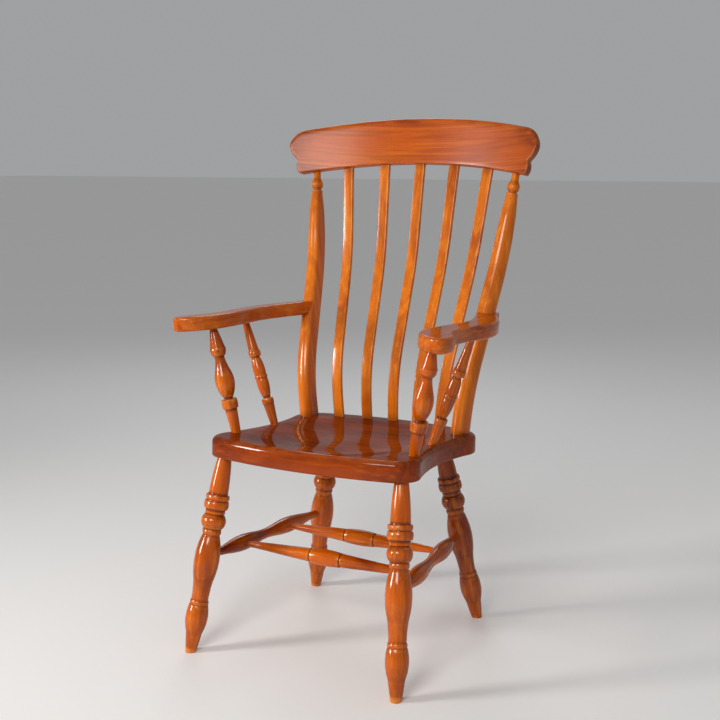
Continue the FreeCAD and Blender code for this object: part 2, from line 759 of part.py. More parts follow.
def support_line(front):
    """Ends of a support: its foot on the seat's rim, its head under the arm."""
    waist = SEAT_WAIST_WIDTH / 2.0
    post = post_centre(ARM_HEIGHT)
    if front:
        foot = rim_point(waist + FRONT_SUPPORT_OUT, FRONT_SUPPORT_BACK - SEAT_FRONT)
        head = arm_underside(post.x + FRONT_SUPPORT_HEAD_OUT, FRONT_SUPPORT_HEAD_BACK - ARM_FRONT)
    else:
        foot = rim_point(waist + REAR_SUPPORT_OUT, REAR_SUPPORT_BACK - SEAT_FRONT)
        head = arm_underside(post.x + REAR_SUPPORT_HEAD_OUT, REAR_SUPPORT_HEAD_BACK - ARM_FRONT)
    return foot, head


def support(front, cone, foot_radius, cone_radius, body, head_radius):
    """Turned post, its members drawn out to fill the height from seat to arm."""
    foot, head = support_line(front)
    turnings = (("lower cone", cone, foot_radius, cone_radius, 0.0),) + body
    members = [("seat tenon", SUPPORT_SEAT_TENON, foot_radius, foot_radius, 0.0)]
    members += stretched(turnings, (head - foot).Length)
    members.append(("arm tenon", SUPPORT_ARM_TENON, head_radius, head_radius, 0.0))
    return along(turned(members, -SUPPORT_SEAT_TENON), foot, head)


def support_sockets(front, foot_radius, head_radius):
    foot, head = support_line(front)
    in_seat = socket(foot_radius, foot, foot - head, SUPPORT_SEAT_TENON)
    in_arm = socket(head_radius, head, head - foot, SUPPORT_ARM_TENON)
    return in_seat, in_arm


# Legs

def leg_line(front):
    """Ends of a leg: its foot on the floor, its head under the seat."""
    if front:
        head = under_seat(FRONT_HEAD_X, FRONT_HEAD_Y)
        splay = V(FRONT_LEG_SPLAY, -FRONT_LEG_RAKE, -head.z)
    else:
        head = under_seat(REAR_HEAD_X, REAR_HEAD_Y)
        splay = V(REAR_LEG_SPLAY, REAR_LEG_RAKE, -head.z)
    return head + splay, head


def leg(front):
    """Turned leg, sawn level on the floor, its members drawn out to the seat."""
    foot, head = leg_line(front)
    neck = FRONT_LEG_NECK if front else REAR_LEG_NECK
    turnings = LEG_FOOT + (("neck", neck, LEG_NECK_RADIUS, LEG_HEAD_RADIUS, LEG_NECK_BELLY),)
    toe = LEG_FOOT[0][2]
    members = [("waste", toe / 2.0, toe, toe, 0.0)]
    members += stretched(turnings, (head - foot).Length)
    members.append(("tenon", LEG_TENON_LENGTH, LEG_TENON_RADIUS, LEG_TENON_RADIUS, 0.0))
    whole = along(turned(members, -toe / 2.0), foot, head)
    room = 4.0 * toe
    floor = Part.makeBox(2.0 * room, 2.0 * room, room, foot - V(room, room, room))
    return whole.cut(floor)


def leg_socket(front):
    foot, head = leg_line(front)
    return socket(LEG_TENON_RADIUS, head, head - foot, LEG_TENON_LENGTH)


# Stretchers

def leg_point(front, z):
    """Point on a leg's line at a height above the floor."""
    foot, head = leg_line(front)
    return foot + (head - foot) * (z / head.z)


def side_point(y):
    """Point on the side stretcher's line at a distance behind the middle."""
    start = leg_point(True, STRETCHER_HEIGHT)
    end = leg_point(False, STRETCHER_HEIGHT)
    return start + (end - start) * ((y - start.y) / (end.y - start.y))


def cross_y(front):
    """Distance behind the middle at which a cross stretcher runs."""
    if front:
        return leg_point(True, STRETCHER_HEIGHT).y + FRONT_CROSS_BACK
    return leg_point(False, STRETCHER_HEIGHT).y - REAR_CROSS_FORE


def side_stretcher():
    """Turned rail, swelling where the two cross stretchers enter it."""
    start = leg_point(True, STRETCHER_HEIGHT)
    end = leg_point(False, STRETCHER_HEIGHT)
    span = (end - start).Length
    first = (side_point(cross_y(True)) - start).Length - SIDE_MOUTH
    second = span - SIDE_MOUTH - (side_point(cross_y(False)) - start).Length
    middle = span - 2.0 * SIDE_MOUTH - first - second
    r = SIDE_TENON_RADIUS
    members = [("tenon", SIDE_TENON_LENGTH, r, r, 0.0)]
    members += swelling(first, r, SIDE_SWELL_RADIUS)
    members += swelling(middle / 2.0, SIDE_SWELL_RADIUS, SIDE_WAIST_RADIUS)
    members += swelling(middle / 2.0, SIDE_WAIST_RADIUS, SIDE_SWELL_RADIUS)
    members += swelling(second, SIDE_SWELL_RADIUS, r)
    members.append(("tenon", SIDE_TENON_LENGTH, r, r, 0.0))
    return along(turned(members, SIDE_MOUTH - SIDE_TENON_LENGTH), start, end)


def swelling(length, low, high):
    """Members of a smooth run between two radii, level at both ends."""
    runs = []
    last = low
    for k in range(1, SIDE_STEPS + 1):
        share = (1.0 - math.cos(math.pi * k / SIDE_STEPS)) / 2.0
        radius = low + (high - low) * share
        runs.append(("swell", length / SIDE_STEPS, last, radius, 0.0))
        last = radius
    return runs


def side_sockets():
    start = leg_point(True, STRETCHER_HEIGHT)
    end = leg_point(False, STRETCHER_HEIGHT)
    line = (end - start).normalize()
    reach = SIDE_MOUTH - SIDE_TENON_LENGTH - GLUE_POCKET
    middle = (start + end) / 2.0
    front = rod(SIDE_TENON_RADIUS + GLUE_GAP, start + line * reach, middle)
    rear = rod(SIDE_TENON_RADIUS + GLUE_GAP, middle, end - line * reach)
    return front, rear


def cross_stretcher(y):
    """Turned rail with a central barrel between two grooves."""
    place = side_point(y)
    half = place.x - SIDE_SWELL_RADIUS + 1.0
    barrel = CROSS_BARREL_LENGTH / 2.0
    groove = CROSS_GROOVE_WIDTH
    deep = CROSS_BARREL_RADIUS - CROSS_GROOVE_DEPTH
    taper = half - barrel - groove
    r = CROSS_TENON_RADIUS
    members = (
        ("tenon", CROSS_TENON_LENGTH, r, r, 0.0),
        ("taper", taper, r, CROSS_SHOULDER_RADIUS, 0.0),
        ("groove", groove, deep, deep, 0.0),
        ("barrel", 2.0 * barrel, CROSS_BARREL_RADIUS, CROSS_BARREL_RADIUS, CROSS_BARREL_BELLY),
        ("groove", groove, deep, deep, 0.0),
        ("taper", taper, CROSS_SHOULDER_RADIUS, r, 0.0),
        ("tenon", CROSS_TENON_LENGTH, r, r, 0.0),
    )
    rail = turned(members, -half - CROSS_TENON_LENGTH)
    centre = V(0, place.y, place.z)
    return along(rail, centre, centre + V(1, 0, 0))


def cross_socket(y):
    place = side_point(y)
    mouth = V(place.x - SIDE_SWELL_RADIUS + 1.0, place.y, place.z)
    return socket(CROSS_TENON_RADIUS, mouth, V(1, 0, 0), CROSS_TENON_LENGTH)


# Arm screws

def screw_line():
    """Screw axis: level, forward through the post into the arm."""
    z = ARM_HEIGHT - ARM_THICKNESS / 2.0
    centre = post_centre(z)
    rear = V(centre.x + SCREW_OUT, centre.y + POST_SHAFT[2][2], z)
    return rear, V(0, -1, 0)


def arm_screw():
    rear, way = screw_line()
    head = rear + way * PELLET_LENGTH
    rise = SCREW_HEAD_RADIUS - SCREW_RADIUS
    shank = SCREW_LENGTH - SCREW_HEAD_RIM - rise - SCREW_POINT
    members = (
        ("head", SCREW_HEAD_RIM, SCREW_HEAD_RADIUS, SCREW_HEAD_RADIUS, 0.0),
        ("countersink", rise, SCREW_HEAD_RADIUS, SCREW_RADIUS, 0.0),
        ("shank", shank, SCREW_RADIUS, SCREW_RADIUS, 0.0),
        ("point", SCREW_POINT, SCREW_RADIUS, SCREW_TIP_RADIUS, 0.0),
    )
    return along(turned(members), head, head + way)


def pellet():
    """Wooden plug over the screw's head, standing just proud of the post."""
    rear, way = screw_line()
    return rod(PELLET_RADIUS, rear - way * PELLET_STAND, rear + way * PELLET_LENGTH)


def pellet_bore():
    rear, way = screw_line()
    return rod(PELLET_RADIUS, rear - way * 20.0, rear + way * PELLET_LENGTH)


# The chair

def build():
    parts = {}
    seat = seat_blank()
    crest = crest_blank()
    post = post_whole()
    screw = arm_screw()

    # Laths in their mortises
    for k, foot_x, top_x in lath_places():
        parts["lath_%d" % k] = lath_strip(foot_x, top_x, 0.0)
        mortise = lath_strip(foot_x, top_x, GLUE_GAP)
        seat = seat.cut(mortise)
        crest = crest.cut(mortise)

    # Posts: scribed to the seat, tenoned below, their heads in the crest rail
    start, tip = post_head_line()
    crest_bore = socket(POST_NECK_RADIUS, tip - (tip - start).normalize() * POST_CREST_TENON,
                        tip - start, POST_CREST_TENON)
    post = post.cut(seat_blank())
    post = max(post.Solids, key=lambda s: s.Volume)
    post = post.fuse(post_tenon(POST_TENON_RADIUS, POST_TENON_LENGTH))
    post_bore = post_tenon(POST_TENON_RADIUS + GLUE_GAP, POST_TENON_LENGTH + GLUE_POCKET)

    # Arms: notched round the posts
    arm = arm_blank().cut(post)
    arm = max(arm.Solids, key=lambda s: s.Volume)
    supports = (
        ("front", FRONT_SUPPORT_CONE, FRONT_SUPPORT_FOOT_RADIUS, FRONT_SUPPORT_CONE_RADIUS,
         FRONT_SUPPORT_BODY, FRONT_SUPPORT_HEAD_RADIUS),
        ("rear", REAR_SUPPORT_CONE, REAR_SUPPORT_FOOT_RADIUS, REAR_SUPPORT_CONE_RADIUS,
         REAR_SUPPORT_BODY, REAR_SUPPORT_HEAD_RADIUS),
    )
    bores = [post_bore]
    for name, cone, foot_r, cone_r, body, head_r in supports:
        front = name == "front"
        piece = support(front, cone, foot_r, cone_r, body, head_r)
        in_seat, in_arm = support_sockets(front, foot_r, head_r)
        arm = arm.cut(in_arm)
        bores.append(in_seat)
        parts["%s_arm_support_right" % name] = piece
    plug = pellet()
    post = post.cut(pellet_bore()).cut(screw)
    arm = arm.cut(screw)

    # Legs and stretchers
    front_leg, rear_leg = leg(True), leg(False)
    front_bore, rear_bore = side_sockets()
    parts["front_leg_right"] = front_leg.cut(front_bore)
    parts["rear_leg_right"] = rear_leg.cut(rear_bore)
    bores.append(leg_socket(True))
    bores.append(leg_socket(False))
    side = side_stretcher()
    for name, y in (("front", cross_y(True)), ("rear", cross_y(False))):
        side = side.cut(cross_socket(y))
        parts["cross_stretcher_%s" % name] = cross_stretcher(y)
    parts["side_stretcher_right"] = side
    parts["back_post_right"] = post
    parts["arm_right"] = arm
    parts["arm_screw_right"] = screw
    parts["arm_screw_plug_right"] = plug

    # Left-hand pieces and sockets
    for name in [n for n in parts if n.endswith("_right")]:
        parts[name.replace("_right", "_left")] = mirrored(parts[name])
    for bore in bores:
        seat = seat.cut(bore).cut(mirrored(bore))
    parts["seat"] = seat
    parts["crest_rail"] = crest.cut(crest_bore).cut(mirrored(crest_bore))
    return parts


def centred(parts):
    """Move all pieces so that the middle of their plan is over the origin."""
    box = FreeCAD.BoundBox()
    for shape in parts.values():
        box.add(shape.optimalBoundingBox(False))
    shift = V(-box.Center.x, -box.Center.y, 0)
    for shape in parts.values():
        shape.translate(shift)
    return box


chair = build()
room = centred(chair)
os.makedirs("parts", exist_ok=True)
for node, shape in chair.items():
    solid = shape.Solids[0] if len(shape.Solids) == 1 else shape
    solid.exportStep("parts/%s.step" % node)
    print("%-26s solids %d  volume %.1f cm3  valid %s" % (
        node, len(shape.Solids), shape.Volume / 1000.0, shape.isValid()))
print("height %.1f  width %.1f  depth %.1f" % (room.ZLength, room.XLength, room.YLength))
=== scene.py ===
import math

import bpy
import numpy as np
from mathutils import Matrix, Vector


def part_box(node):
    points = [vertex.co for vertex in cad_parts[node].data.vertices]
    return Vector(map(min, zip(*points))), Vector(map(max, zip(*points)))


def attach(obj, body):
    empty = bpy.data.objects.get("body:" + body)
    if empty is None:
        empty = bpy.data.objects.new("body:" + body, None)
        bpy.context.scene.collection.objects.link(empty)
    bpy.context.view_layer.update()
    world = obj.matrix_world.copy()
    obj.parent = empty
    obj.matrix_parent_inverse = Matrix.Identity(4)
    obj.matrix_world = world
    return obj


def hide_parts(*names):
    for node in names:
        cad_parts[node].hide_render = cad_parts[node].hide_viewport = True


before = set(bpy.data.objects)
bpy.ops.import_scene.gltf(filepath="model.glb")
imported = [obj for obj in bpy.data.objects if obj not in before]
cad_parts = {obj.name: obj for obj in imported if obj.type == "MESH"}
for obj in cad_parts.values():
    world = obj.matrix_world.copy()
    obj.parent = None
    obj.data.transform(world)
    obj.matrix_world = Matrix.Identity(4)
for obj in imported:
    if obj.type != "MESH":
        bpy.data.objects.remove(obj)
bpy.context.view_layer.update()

# All drawing is in millimetres about the middle of the seat, as the part is drawn.
# SHIFT_Y moves the drawing to the row's frame.
SHIFT_Y = -57.70
TAU = 2.0 * math.pi
SHARP_EDGE = math.radians(50.0)


# Pieces

def place(points, matrix=None):
    """Points of the drawing in metres in the row's frame."""
    pts = np.asarray(points, float)
    if matrix is not None:
        m = np.array(matrix)
        pts = pts @ m[:3, :3].T + m[:3, 3]
    return (pts + np.array([0.0, SHIFT_Y, 0.0])) * 0.001


def grain_axes(points, axis):
    """The drawing's coordinates turned so that the third runs along the grain."""
    order = {"x": (1, 2, 0), "y": (2, 0, 1), "z": (0, 1, 2)}[axis]
    return np.asarray(points, float)[:, order] * 0.001


def piece(name, world, local, faces, shade, wear_and_highlight, material, axis="z"):
    """One mesh that rides the frame and stands for its node."""
    mesh = bpy.data.meshes.new(name)
    mesh.from_pydata(world.tolist(), [], faces)
    grain = mesh.attributes.new("grain", "FLOAT_VECTOR", "POINT")
    grain.data.foreach_set("vector", grain_axes(local, axis).astype(np.float32).ravel())
    for key, values in (("shade", shade), ("wear_and_highlight", wear_and_highlight)):
        layer = mesh.attributes.new(key, "FLOAT", "POINT")
        layer.data.foreach_set("value", np.broadcast_to(values, len(world)).astype(np.float32))
    mesh.shade_smooth()
    mesh.set_sharp_from_angle(angle=SHARP_EDGE)
    mesh.materials.append(material)
    obj = bpy.data.objects.new(name, mesh)
    bpy.context.scene.collection.objects.link(obj)
    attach(obj, "root")
    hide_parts(name)


def flip(points):
    return np.asarray(points, float) * np.array([-1.0, 1.0, 1.0])


def both_sides(stem, world, local, faces, shade, wear_and_highlight, make, axis="z"):
    """The right-hand piece and its mirror image, each with wood of its own."""
    turned_over = [f[::-1] for f in faces]
    for name, points, sides in ((stem + "_right", world, faces), (stem + "_left", flip(world), turned_over)):
        piece(name, points, local, sides, shade, wear_and_highlight, make(name), axis=axis)


# Turned shapes

def arc_member(z, length, low, high, belly, step=2.5):
    """Points up one member: a straight run or a bow of the given belly."""
    count = max(2, int(math.ceil(length / step)) + 1)
    shares = np.linspace(0.0, 1.0, count)
    radii = low + (high - low) * shares + 4.0 * belly * shares * (1.0 - shares)
    if abs(belly) > 4.0 and length < 45.0:
        bow = belly * np.sqrt(np.clip(1.0 - (2.0 * shares - 1.0) ** 2, 0.0, 1.0))
        radii = low + (high - low) * shares + 0.35 * bow + 0.65 * 4.0 * belly * shares * (1.0 - shares)
    return [(r, z + length * s) for r, s in zip(radii, shares)]


def stack(members, start):
    z = start
    points = [(0.0, start)]
    for length, low, high, belly in members:
        points += arc_member(z, length, low, high, belly)
        z += length
    points.append((0.0, z))
    return points


def soften(points, cut=0.8):
    """Round every sharp corner of a profile."""
    pts = [np.array(p, float) for p in points]
    out = [pts[0]]
    for k in range(1, len(pts) - 1):
        back, ahead = pts[k - 1] - pts[k], pts[k + 1] - pts[k]
        lb, la = np.linalg.norm(back), np.linalg.norm(ahead)
        if lb < 1e-6 or la < 1e-6:
            continue
        turn = math.pi - math.acos(max(-1.0, min(1.0, float(back @ ahead) / (lb * la))))
        if turn < 0.35:
            out.append(pts[k])
            continue
        d = min(cut, 0.4 * lb, 0.4 * la)
        near, far = pts[k] + back / lb * d, pts[k] + ahead / la * d
        out += [near, (near + far) * 0.25 + pts[k] * 0.5, far]
    out.append(pts[-1])
    return np.array(out)


def cavity(profile):
    """How deep each point of a profile lies below its neighbours, 0 to 1."""
    r, z = profile[:, 0], profile[:, 1]
    deep = np.zeros(len(r))
    for k in range(len(r)):
        near = np.abs(z - z[k]) < 5.0
        deep[k] = max(0.0, r[near].max() - r[k])
    return np.clip(deep / 5.0, 0.0, 1.0) * (r > 0.5)


def ridge(profile):
    """How far each point stands above its neighbours, 0 to 1."""
    r, z = profile[:, 0], profile[:, 1]
    proud = np.zeros(len(r))
    for k in range(len(r)):
        near = np.abs(z - z[k]) < 6.0
        proud[k] = max(0.0, r[k] - r[near].mean())
    return np.clip(proud / 3.0, 0.0, 1.0)


def revolve(profile, segments=56):
    """Vertices and faces of a profile (radius, height) turned about Z."""
    angles = np.arange(segments) * TAU / segments
    verts, rings = [], []
    for r, z in profile:
        if r < 1e-6:
            rings.append([len(verts)])
            verts.append((0.0, 0.0, z))
        else:
            rings.append(list(range(len(verts), len(verts) + segments)))
            verts += [(r * math.cos(a), r * math.sin(a), z) for a in angles]
    faces = []
    for low, high in zip(rings, rings[1:]):
        for k in range(segments):
            n = (k + 1) % segments
            if len(low) == 1 and len(high) > 1:
                faces.append((low[0], high[n], high[k]))
            elif len(high) == 1 and len(low) > 1:
                faces.append((low[k], low[n], high[0]))
            elif len(low) > 1:
                faces.append((low[k], low[n], high[n], high[k]))
    counts = [len(ring) for ring in rings]
    return np.array(verts), faces, counts


def spread(values, counts):
    return np.repeat(values, counts)


def stand(start, end):
    """Matrix that takes +Z onto the line from start to end."""
    way = (Vector(end) - Vector(start)).normalized()
    return Matrix.Translation(start) @ Vector((0, 0, 1)).rotation_difference(way).to_matrix().to_4x4()


# Flat-faced shapes with rounded edges

def slab(outline, spine, thick, r_top, r_low, top=None, inner=10, turns=7):
    """Plate between z = 0 and -thick: outline rings, rolled over at both edges,
    that draw in to a spine. top gives the height of the upper face at a place in plan."""
    outline = np.asarray(outline, float)
    inward = spine - outline
    reach = np.linalg.norm(inward, axis=1, keepdims=True)
    inward = inward / reach
    r_top = np.broadcast_to(r_top, len(outline)).reshape(-1, 1)
    r_low = np.broadcast_to(r_low, len(outline)).reshape(-1, 1)
    levels = []
    shares = [1.0 - k / inner for k in range(inner)]

    def face(share, radius):
        return outline + inward * (radius + (reach - radius) * share)

    for f in shares:
        xy = face(f, r_low)
        levels.append((xy, np.full(len(xy), -thick), 0.0))
    for k in range(turns + 1):
        a = math.pi / 2 * (1.0 - k / turns)
        xy = outline + inward * r_low * (1.0 - math.cos(a))
        levels.append((xy, (-thick + r_low - r_low * math.sin(a))[:, 0], 1.0))
    for k in range(turns + 1):
        a = math.pi / 2 * k / turns
        xy = outline + inward * r_top * (1.0 - math.cos(a))
        levels.append((xy, (-r_top + r_top * math.sin(a))[:, 0], 1.0))
    for f in shares[::-1]:
        xy = face(f, r_top)
        z = top(xy[:, 0], xy[:, 1]) if top else 0.0
        levels.append((xy, np.broadcast_to(z, len(xy)), 0.0))
    verts, edge = [], []
    for xy, z, e in levels:
        verts.append(np.column_stack([xy, z]))
        edge.append(np.full(len(xy), e))
    n = len(outline)
    faces = []
    for k in range(len(levels) - 1):
        for j in range(n):
            i = (j + 1) % n
            faces.append((k * n + j, k * n + i, (k + 1) * n + i, (k + 1) * n + j))
    return np.vstack(verts), faces, np.concatenate(edge)


def smooth_closed(points, sharp=(), step=4.0):
    """Points along a closed curve that runs tangent to a polygon at the middle of its sides."""
    pts = [np.array(p, float) for p in points]
    n = len(pts)
    out = []
    for k in range(n):
        v = pts[k]
        if k in sharp:
            out.append(v)
            continue
        a = (pts[k - 1] + v) / 2 if (k - 1) % n not in sharp else pts[k - 1] * 0.02 + v * 0.98
        b = (pts[(k + 1) % n] + v) / 2 if (k + 1) % n not in sharp else pts[(k + 1) % n] * 0.02 + v * 0.98
        count = max(3, int((np.linalg.norm(a - v) + np.linalg.norm(b - v)) / step))
        for t in np.linspace(0.0, 1.0, count, endpoint=False):
            out.append((1 - t) ** 2 * a + 2 * t * (1 - t) * v + t * t * b)
    return np.array(out)


def even(points, count):
    """The same closed curve with points at even steps."""
    pts = np.vstack([points, points[:1]])
    run = np.concatenate([[0.0], np.cumsum(np.linalg.norm(np.diff(pts, axis=0), axis=1))])
    where = np.linspace(0.0, run[-1], count, endpoint=False)
    return np.column_stack([np.interp(where, run, pts[:, i]) for i in range(pts.shape[1])])


def nearest_on(line, points):
    """For each point the nearest place on an open line of points."""
    out = np.zeros_like(points)
    best = np.full(len(points), 1e18)
    for a, b in zip(line, line[1:]):
        a, b = np.array(a, float), np.array(b, float)
        t = np.clip(((points - a) @ (b - a)) / ((b - a) @ (b - a)), 0.0, 1.0)
        q = a + t[:, None] * (b - a)
        d = np.linalg.norm(points - q, axis=1)
        out[d < best] = q[d < best]
        best = np.minimum(best, d)
    return out


# Seat

SEAT_TILT = math.radians(2.9)
SEAT_Z = 456.0
SEAT_THICK = 43.0
SEAT_FRONT_Y, SEAT_FRONT_R = -221.0, 900.0
SEAT_REAR_Y, SEAT_REAR_R = 246.0, 620.0
SEAT_WAIST_X, SEAT_WAIST_Y, SEAT_WAIST_R = 216.0, 30.0, 520.0
FRONT_CORNER_R, REAR_CORNER_R = 48.0, 64.0
DISH_DEPTH, DISH_SIDE, DISH_FRONT, DISH_REAR = 11.5, 192.0, 228.0, 198.0
RIDGE_HEIGHT, RIDGE_WIDTH = 5.0, 46.0


def rim_point(x, y):
    return Vector((x, y, SEAT_Z - math.tan(SEAT_TILT) * y))


def under_seat(x, y):
    return rim_point(x, y) - Vector((0, 0, SEAT_THICK / math.cos(SEAT_TILT)))


def seat_plan():
    """Bowed front, rounded corners, waisted sides and a bowed back."""
    side = np.array([SEAT_WAIST_X + SEAT_WAIST_R, SEAT_WAIST_Y])
    front, rear = np.array([0.0, SEAT_FRONT_Y + SEAT_FRONT_R]), np.array([0.0, SEAT_REAR_Y - SEAT_REAR_R])

    def corner(end, reach, side_reach):
        apart = np.linalg.norm(side - end)
        share = (reach ** 2 - side_reach ** 2 + apart ** 2) / (2 * apart)
        off = math.sqrt(reach ** 2 - share ** 2)
        way = (side - end) / apart
        across = np.array([way[1], -way[0]]) * math.copysign(off, way[1])
        return end + way * share - across

    def sweep(centre, radius, start, end, steps):
        a = math.atan2(*(start - centre)[::-1])
        b = math.atan2(*(end - centre)[::-1])
        if abs(b - a) > math.pi:
            b += math.copysign(TAU, a - b)
        t = np.linspace(a, b, steps)
        return np.column_stack([centre[0] + radius * np.cos(t), centre[1] + radius * np.sin(t)])

    def toward(start, way, length):
        return start + way / np.linalg.norm(way) * length

    fore = corner(front, SEAT_FRONT_R - FRONT_CORNER_R, SEAT_WAIST_R + FRONT_CORNER_R)
    aft = corner(rear, SEAT_REAR_R - REAR_CORNER_R, SEAT_WAIST_R + REAR_CORNER_R)
    nose, hip = toward(fore, fore - front, FRONT_CORNER_R), toward(fore, side - fore, FRONT_CORNER_R)
    flank, tail = toward(aft, side - aft, REAR_CORNER_R), toward(aft, aft - rear, REAR_CORNER_R)
    half = np.vstack([
        sweep(front, SEAT_FRONT_R, np.array([0.0, SEAT_FRONT_Y]), nose, 30)[:-1],
        sweep(fore, FRONT_CORNER_R, nose, hip, 30)[:-1],
        sweep(side, SEAT_WAIST_R, hip, flank, 40)[:-1],
        sweep(aft, REAR_CORNER_R, flank, tail, 30)[:-1],
        sweep(rear, SEAT_REAR_R, tail, np.array([0.0, SEAT_REAR_Y]), 24),
    ])
    return np.vstack([half, half[-2:0:-1] * np.array([-1.0, 1.0])])


def dish(x, y):
    """Saddled hollow: a soft ridge parts two thigh runs at the front, with one bowl behind."""
    x, y = np.asarray(x, float), np.asarray(y, float)
    reach = np.where(y > 0, DISH_REAR, DISH_FRONT)
    s = (np.abs(x / DISH_SIDE) ** 2.8 + np.abs(y / reach) ** 2.8) ** (1 / 2.8)
    bowl = -DISH_DEPTH * (1.0 - np.clip(s, 0.0, 1.0) ** 4) ** 1.6
    fore = np.clip((50.0 - y) / 150.0, 0.0, 1.0) * np.clip((y + DISH_FRONT) / 90.0, 0.0, 1.0)
    ridge_line = RIDGE_HEIGHT * np.exp(-(x / RIDGE_WIDTH) ** 2) * fore ** 1.5
    hand_cut = 1.2 * np.cos(x / 38.0) * (bowl / DISH_DEPTH) ** 2
    return bowl + ridge_line + hand_cut


def make_seat():
    plan = even(seat_plan(), 260)
    spine = np.broadcast_to(np.array([0.0, 12.0]), plan.shape)
    verts, faces, edge = slab(plan, spine, SEAT_THICK, 12.0, 4.0, top=dish, inner=48, turns=8)
    turn = Matrix.Translation((0, 0, SEAT_Z)) @ Matrix.Rotation(-SEAT_TILT, 4, "X")
    wear_and_highlight = edge * np.clip((verts[:, 2] + 14.0) / 12.0, 0.0, 1.0) * 0.3
    material = wood("seat", 3, SEAT_STAIN, boards=True, coat=0.5, blur=0.08)
    piece("seat", place(verts, turn), verts, faces, 0.0, wear_and_highlight, material, axis="x")


# Back

BACK_STRAIGHT, LOWER_R, LEAN, LEAN_RUN, UPPER_R, TOP_LEAN = (
    32.0, 391.0, math.radians(21.0), 150.0, 716.0, math.radians(11.0))
CREST_R, CREST_Y, CREST_Z, CREST_T = 740.0, 354.0, 1037.0, 23.5
CREST_LOW_R, CREST_TOP_R = 1200.0, 1130.0
RIM_Y, RIM_R = 214.0, 375.0
LATH_COUNT, LATH_WIDTH, LATH_THICK, LATH_ROUND = 5, 25.0, 10.0, 2.6
LATH_FOOT_PITCH, LATH_TOP_PITCH = 65.5, 90.5
POST_FOOT_X, POST_TOP_X = 195.0, 257.0


def back_profile(w):
    """Set-back and lean of the bent back at a height above the seat."""
    w1 = BACK_STRAIGHT + LOWER_R * math.sin(LEAN)
    s1 = LOWER_R * (1.0 - math.cos(LEAN))
    w2, s2 = w1 + LEAN_RUN * math.cos(LEAN), s1 + LEAN_RUN * math.sin(LEAN)
    w3 = w2 + UPPER_R * (math.sin(LEAN) - math.sin(TOP_LEAN))
    s3 = s2 + UPPER_R * (math.cos(TOP_LEAN) - math.cos(LEAN))
    if w <= BACK_STRAIGHT:
        return 0.0, 0.0
    if w <= w1:
        a = math.asin((w - BACK_STRAIGHT) / LOWER_R)
        return LOWER_R * (1.0 - math.cos(a)), a
    if w <= w2:
        return s1 + (w - w1) * math.tan(LEAN), LEAN
    if w <= w3:
        a = math.asin(math.sin(LEAN) - (w - w2) / UPPER_R)
        return s2 + UPPER_R * (math.cos(a) - math.cos(LEAN)), a
    return s3 + (w - w3) * math.tan(TOP_LEAN), TOP_LEAN


def back_frame(foot_x, top_x):
    foot = rim_point(foot_x, RIM_Y - RIM_R + math.sqrt(RIM_R ** 2 - foot_x ** 2))
    sag = CREST_LOW_R - math.sqrt(CREST_LOW_R ** 2 - top_x ** 2)
    head = Vector((top_x, CREST_Y - CREST_R + math.sqrt(CREST_R ** 2 - top_x ** 2), CREST_Z - sag))
    rise = head.z - foot.z
    height = math.hypot(head.x - foot.x, rise)
    fan = math.atan2(head.x - foot.x, rise)
    spare = head.y - foot.y - back_profile(height)[0]
    lean = math.atan2(spare, height)
    turn = Matrix.Rotation(fan, 4, "Y") @ Matrix.Rotation(-lean, 4, "X")
    return Matrix.Translation(foot) @ turn, height


def sweep_back(section, heights):
    """Loft sections, functions of height, along the bent back line."""
    verts = []
    for w in heights:
        s, a = back_profile(w)
        sec = section(w)
        verts.append(np.column_stack([sec[:, 0], s + sec[:, 1] * math.cos(a), w - sec[:, 1] * math.sin(a)]))
    n = len(verts[0])
    faces = []
    for k in range(len(verts) - 1):
        for j in range(n):
            i = (j + 1) % n
            faces.append((k * n + j, k * n + i, (k + 1) * n + i, (k + 1) * n + j))
    faces.append(tuple(range(n))[::-1])
    faces.append(tuple(range((len(verts) - 1) * n, len(verts) * n)))
    return np.vstack(verts), faces


def rounded_bar(width, depth, radius, per=5):
    """Rectangle section with round corners, counter-clockwise."""
    out = []
    for sx, sy, start in ((1, -1, -90), (1, 1, 0), (-1, 1, 90), (-1, -1, 180)):
        for k in range(per + 1):
            a = math.radians(start + 90.0 * k / per)
            out.append((sx * (width / 2 - radius) + radius * math.cos(a),
                        sy * (depth / 2 - radius) + radius * math.sin(a)))
    return np.array(out)


def make_laths():
    bar = rounded_bar(LATH_WIDTH, LATH_THICK, LATH_ROUND)
    for k in range(1, LATH_COUNT + 1):
        step = k - (LATH_COUNT + 1) / 2
        matrix, height = back_frame(step * LATH_FOOT_PITCH, step * LATH_TOP_PITCH)
        heights = np.linspace(-12.0, height + 12.0, 90)
        verts, faces = sweep_back(lambda w: bar, heights)
        # Painted shade: each lath darkens towards its foot in the seat and its top in the crest.
        low = np.clip(1.0 - verts[:, 2] / 22.0, 0.0, 1.0) * 0.8
        high = np.clip(1.0 - (height - verts[:, 2]) / 14.0, 0.0, 1.0) * 0.6
        # Painted highlight: both side edges of each lath get the light worn colour.
        edge = np.tile((np.abs(np.abs(bar[:, 0]) - 12.0) < 1.5).astype(float), len(heights)) * 0.5
        name = "lath_%d" % k
        piece(name, place(verts, matrix), verts, faces, np.maximum(low, high), edge,
              wood(name, 20 + k, BACK_STAIN, coat=0.75, blur=0.16))


POST_SHAFT = np.array([
    (0.00, 22.0, 24.0, 15.0), (0.20, 22.0, 23.5, 14.5), (0.46, 22.0, 23.5, 14.5), (0.66, 21.8, 22.8, 14.0),
    (0.82, 20.8, 21.2, 13.8), (0.92, 18.2, 18.4, 13.2), (1.00, 13.2, 13.2, 11.4)])


def post_section(share, n=64):
    hw, hd, flat = [np.interp(share, POST_SHAFT[:, 0], POST_SHAFT[:, c]) for c in (1, 2, 3)]
    a = np.linspace(0.0, TAU, n, endpoint=False)
    x, y = hw * np.cos(a), hd * np.sin(a)
    soft = 1.1
    x = -flat + soft * np.logaddexp(0.0, (x + flat) / soft)
    return np.column_stack([x, y])


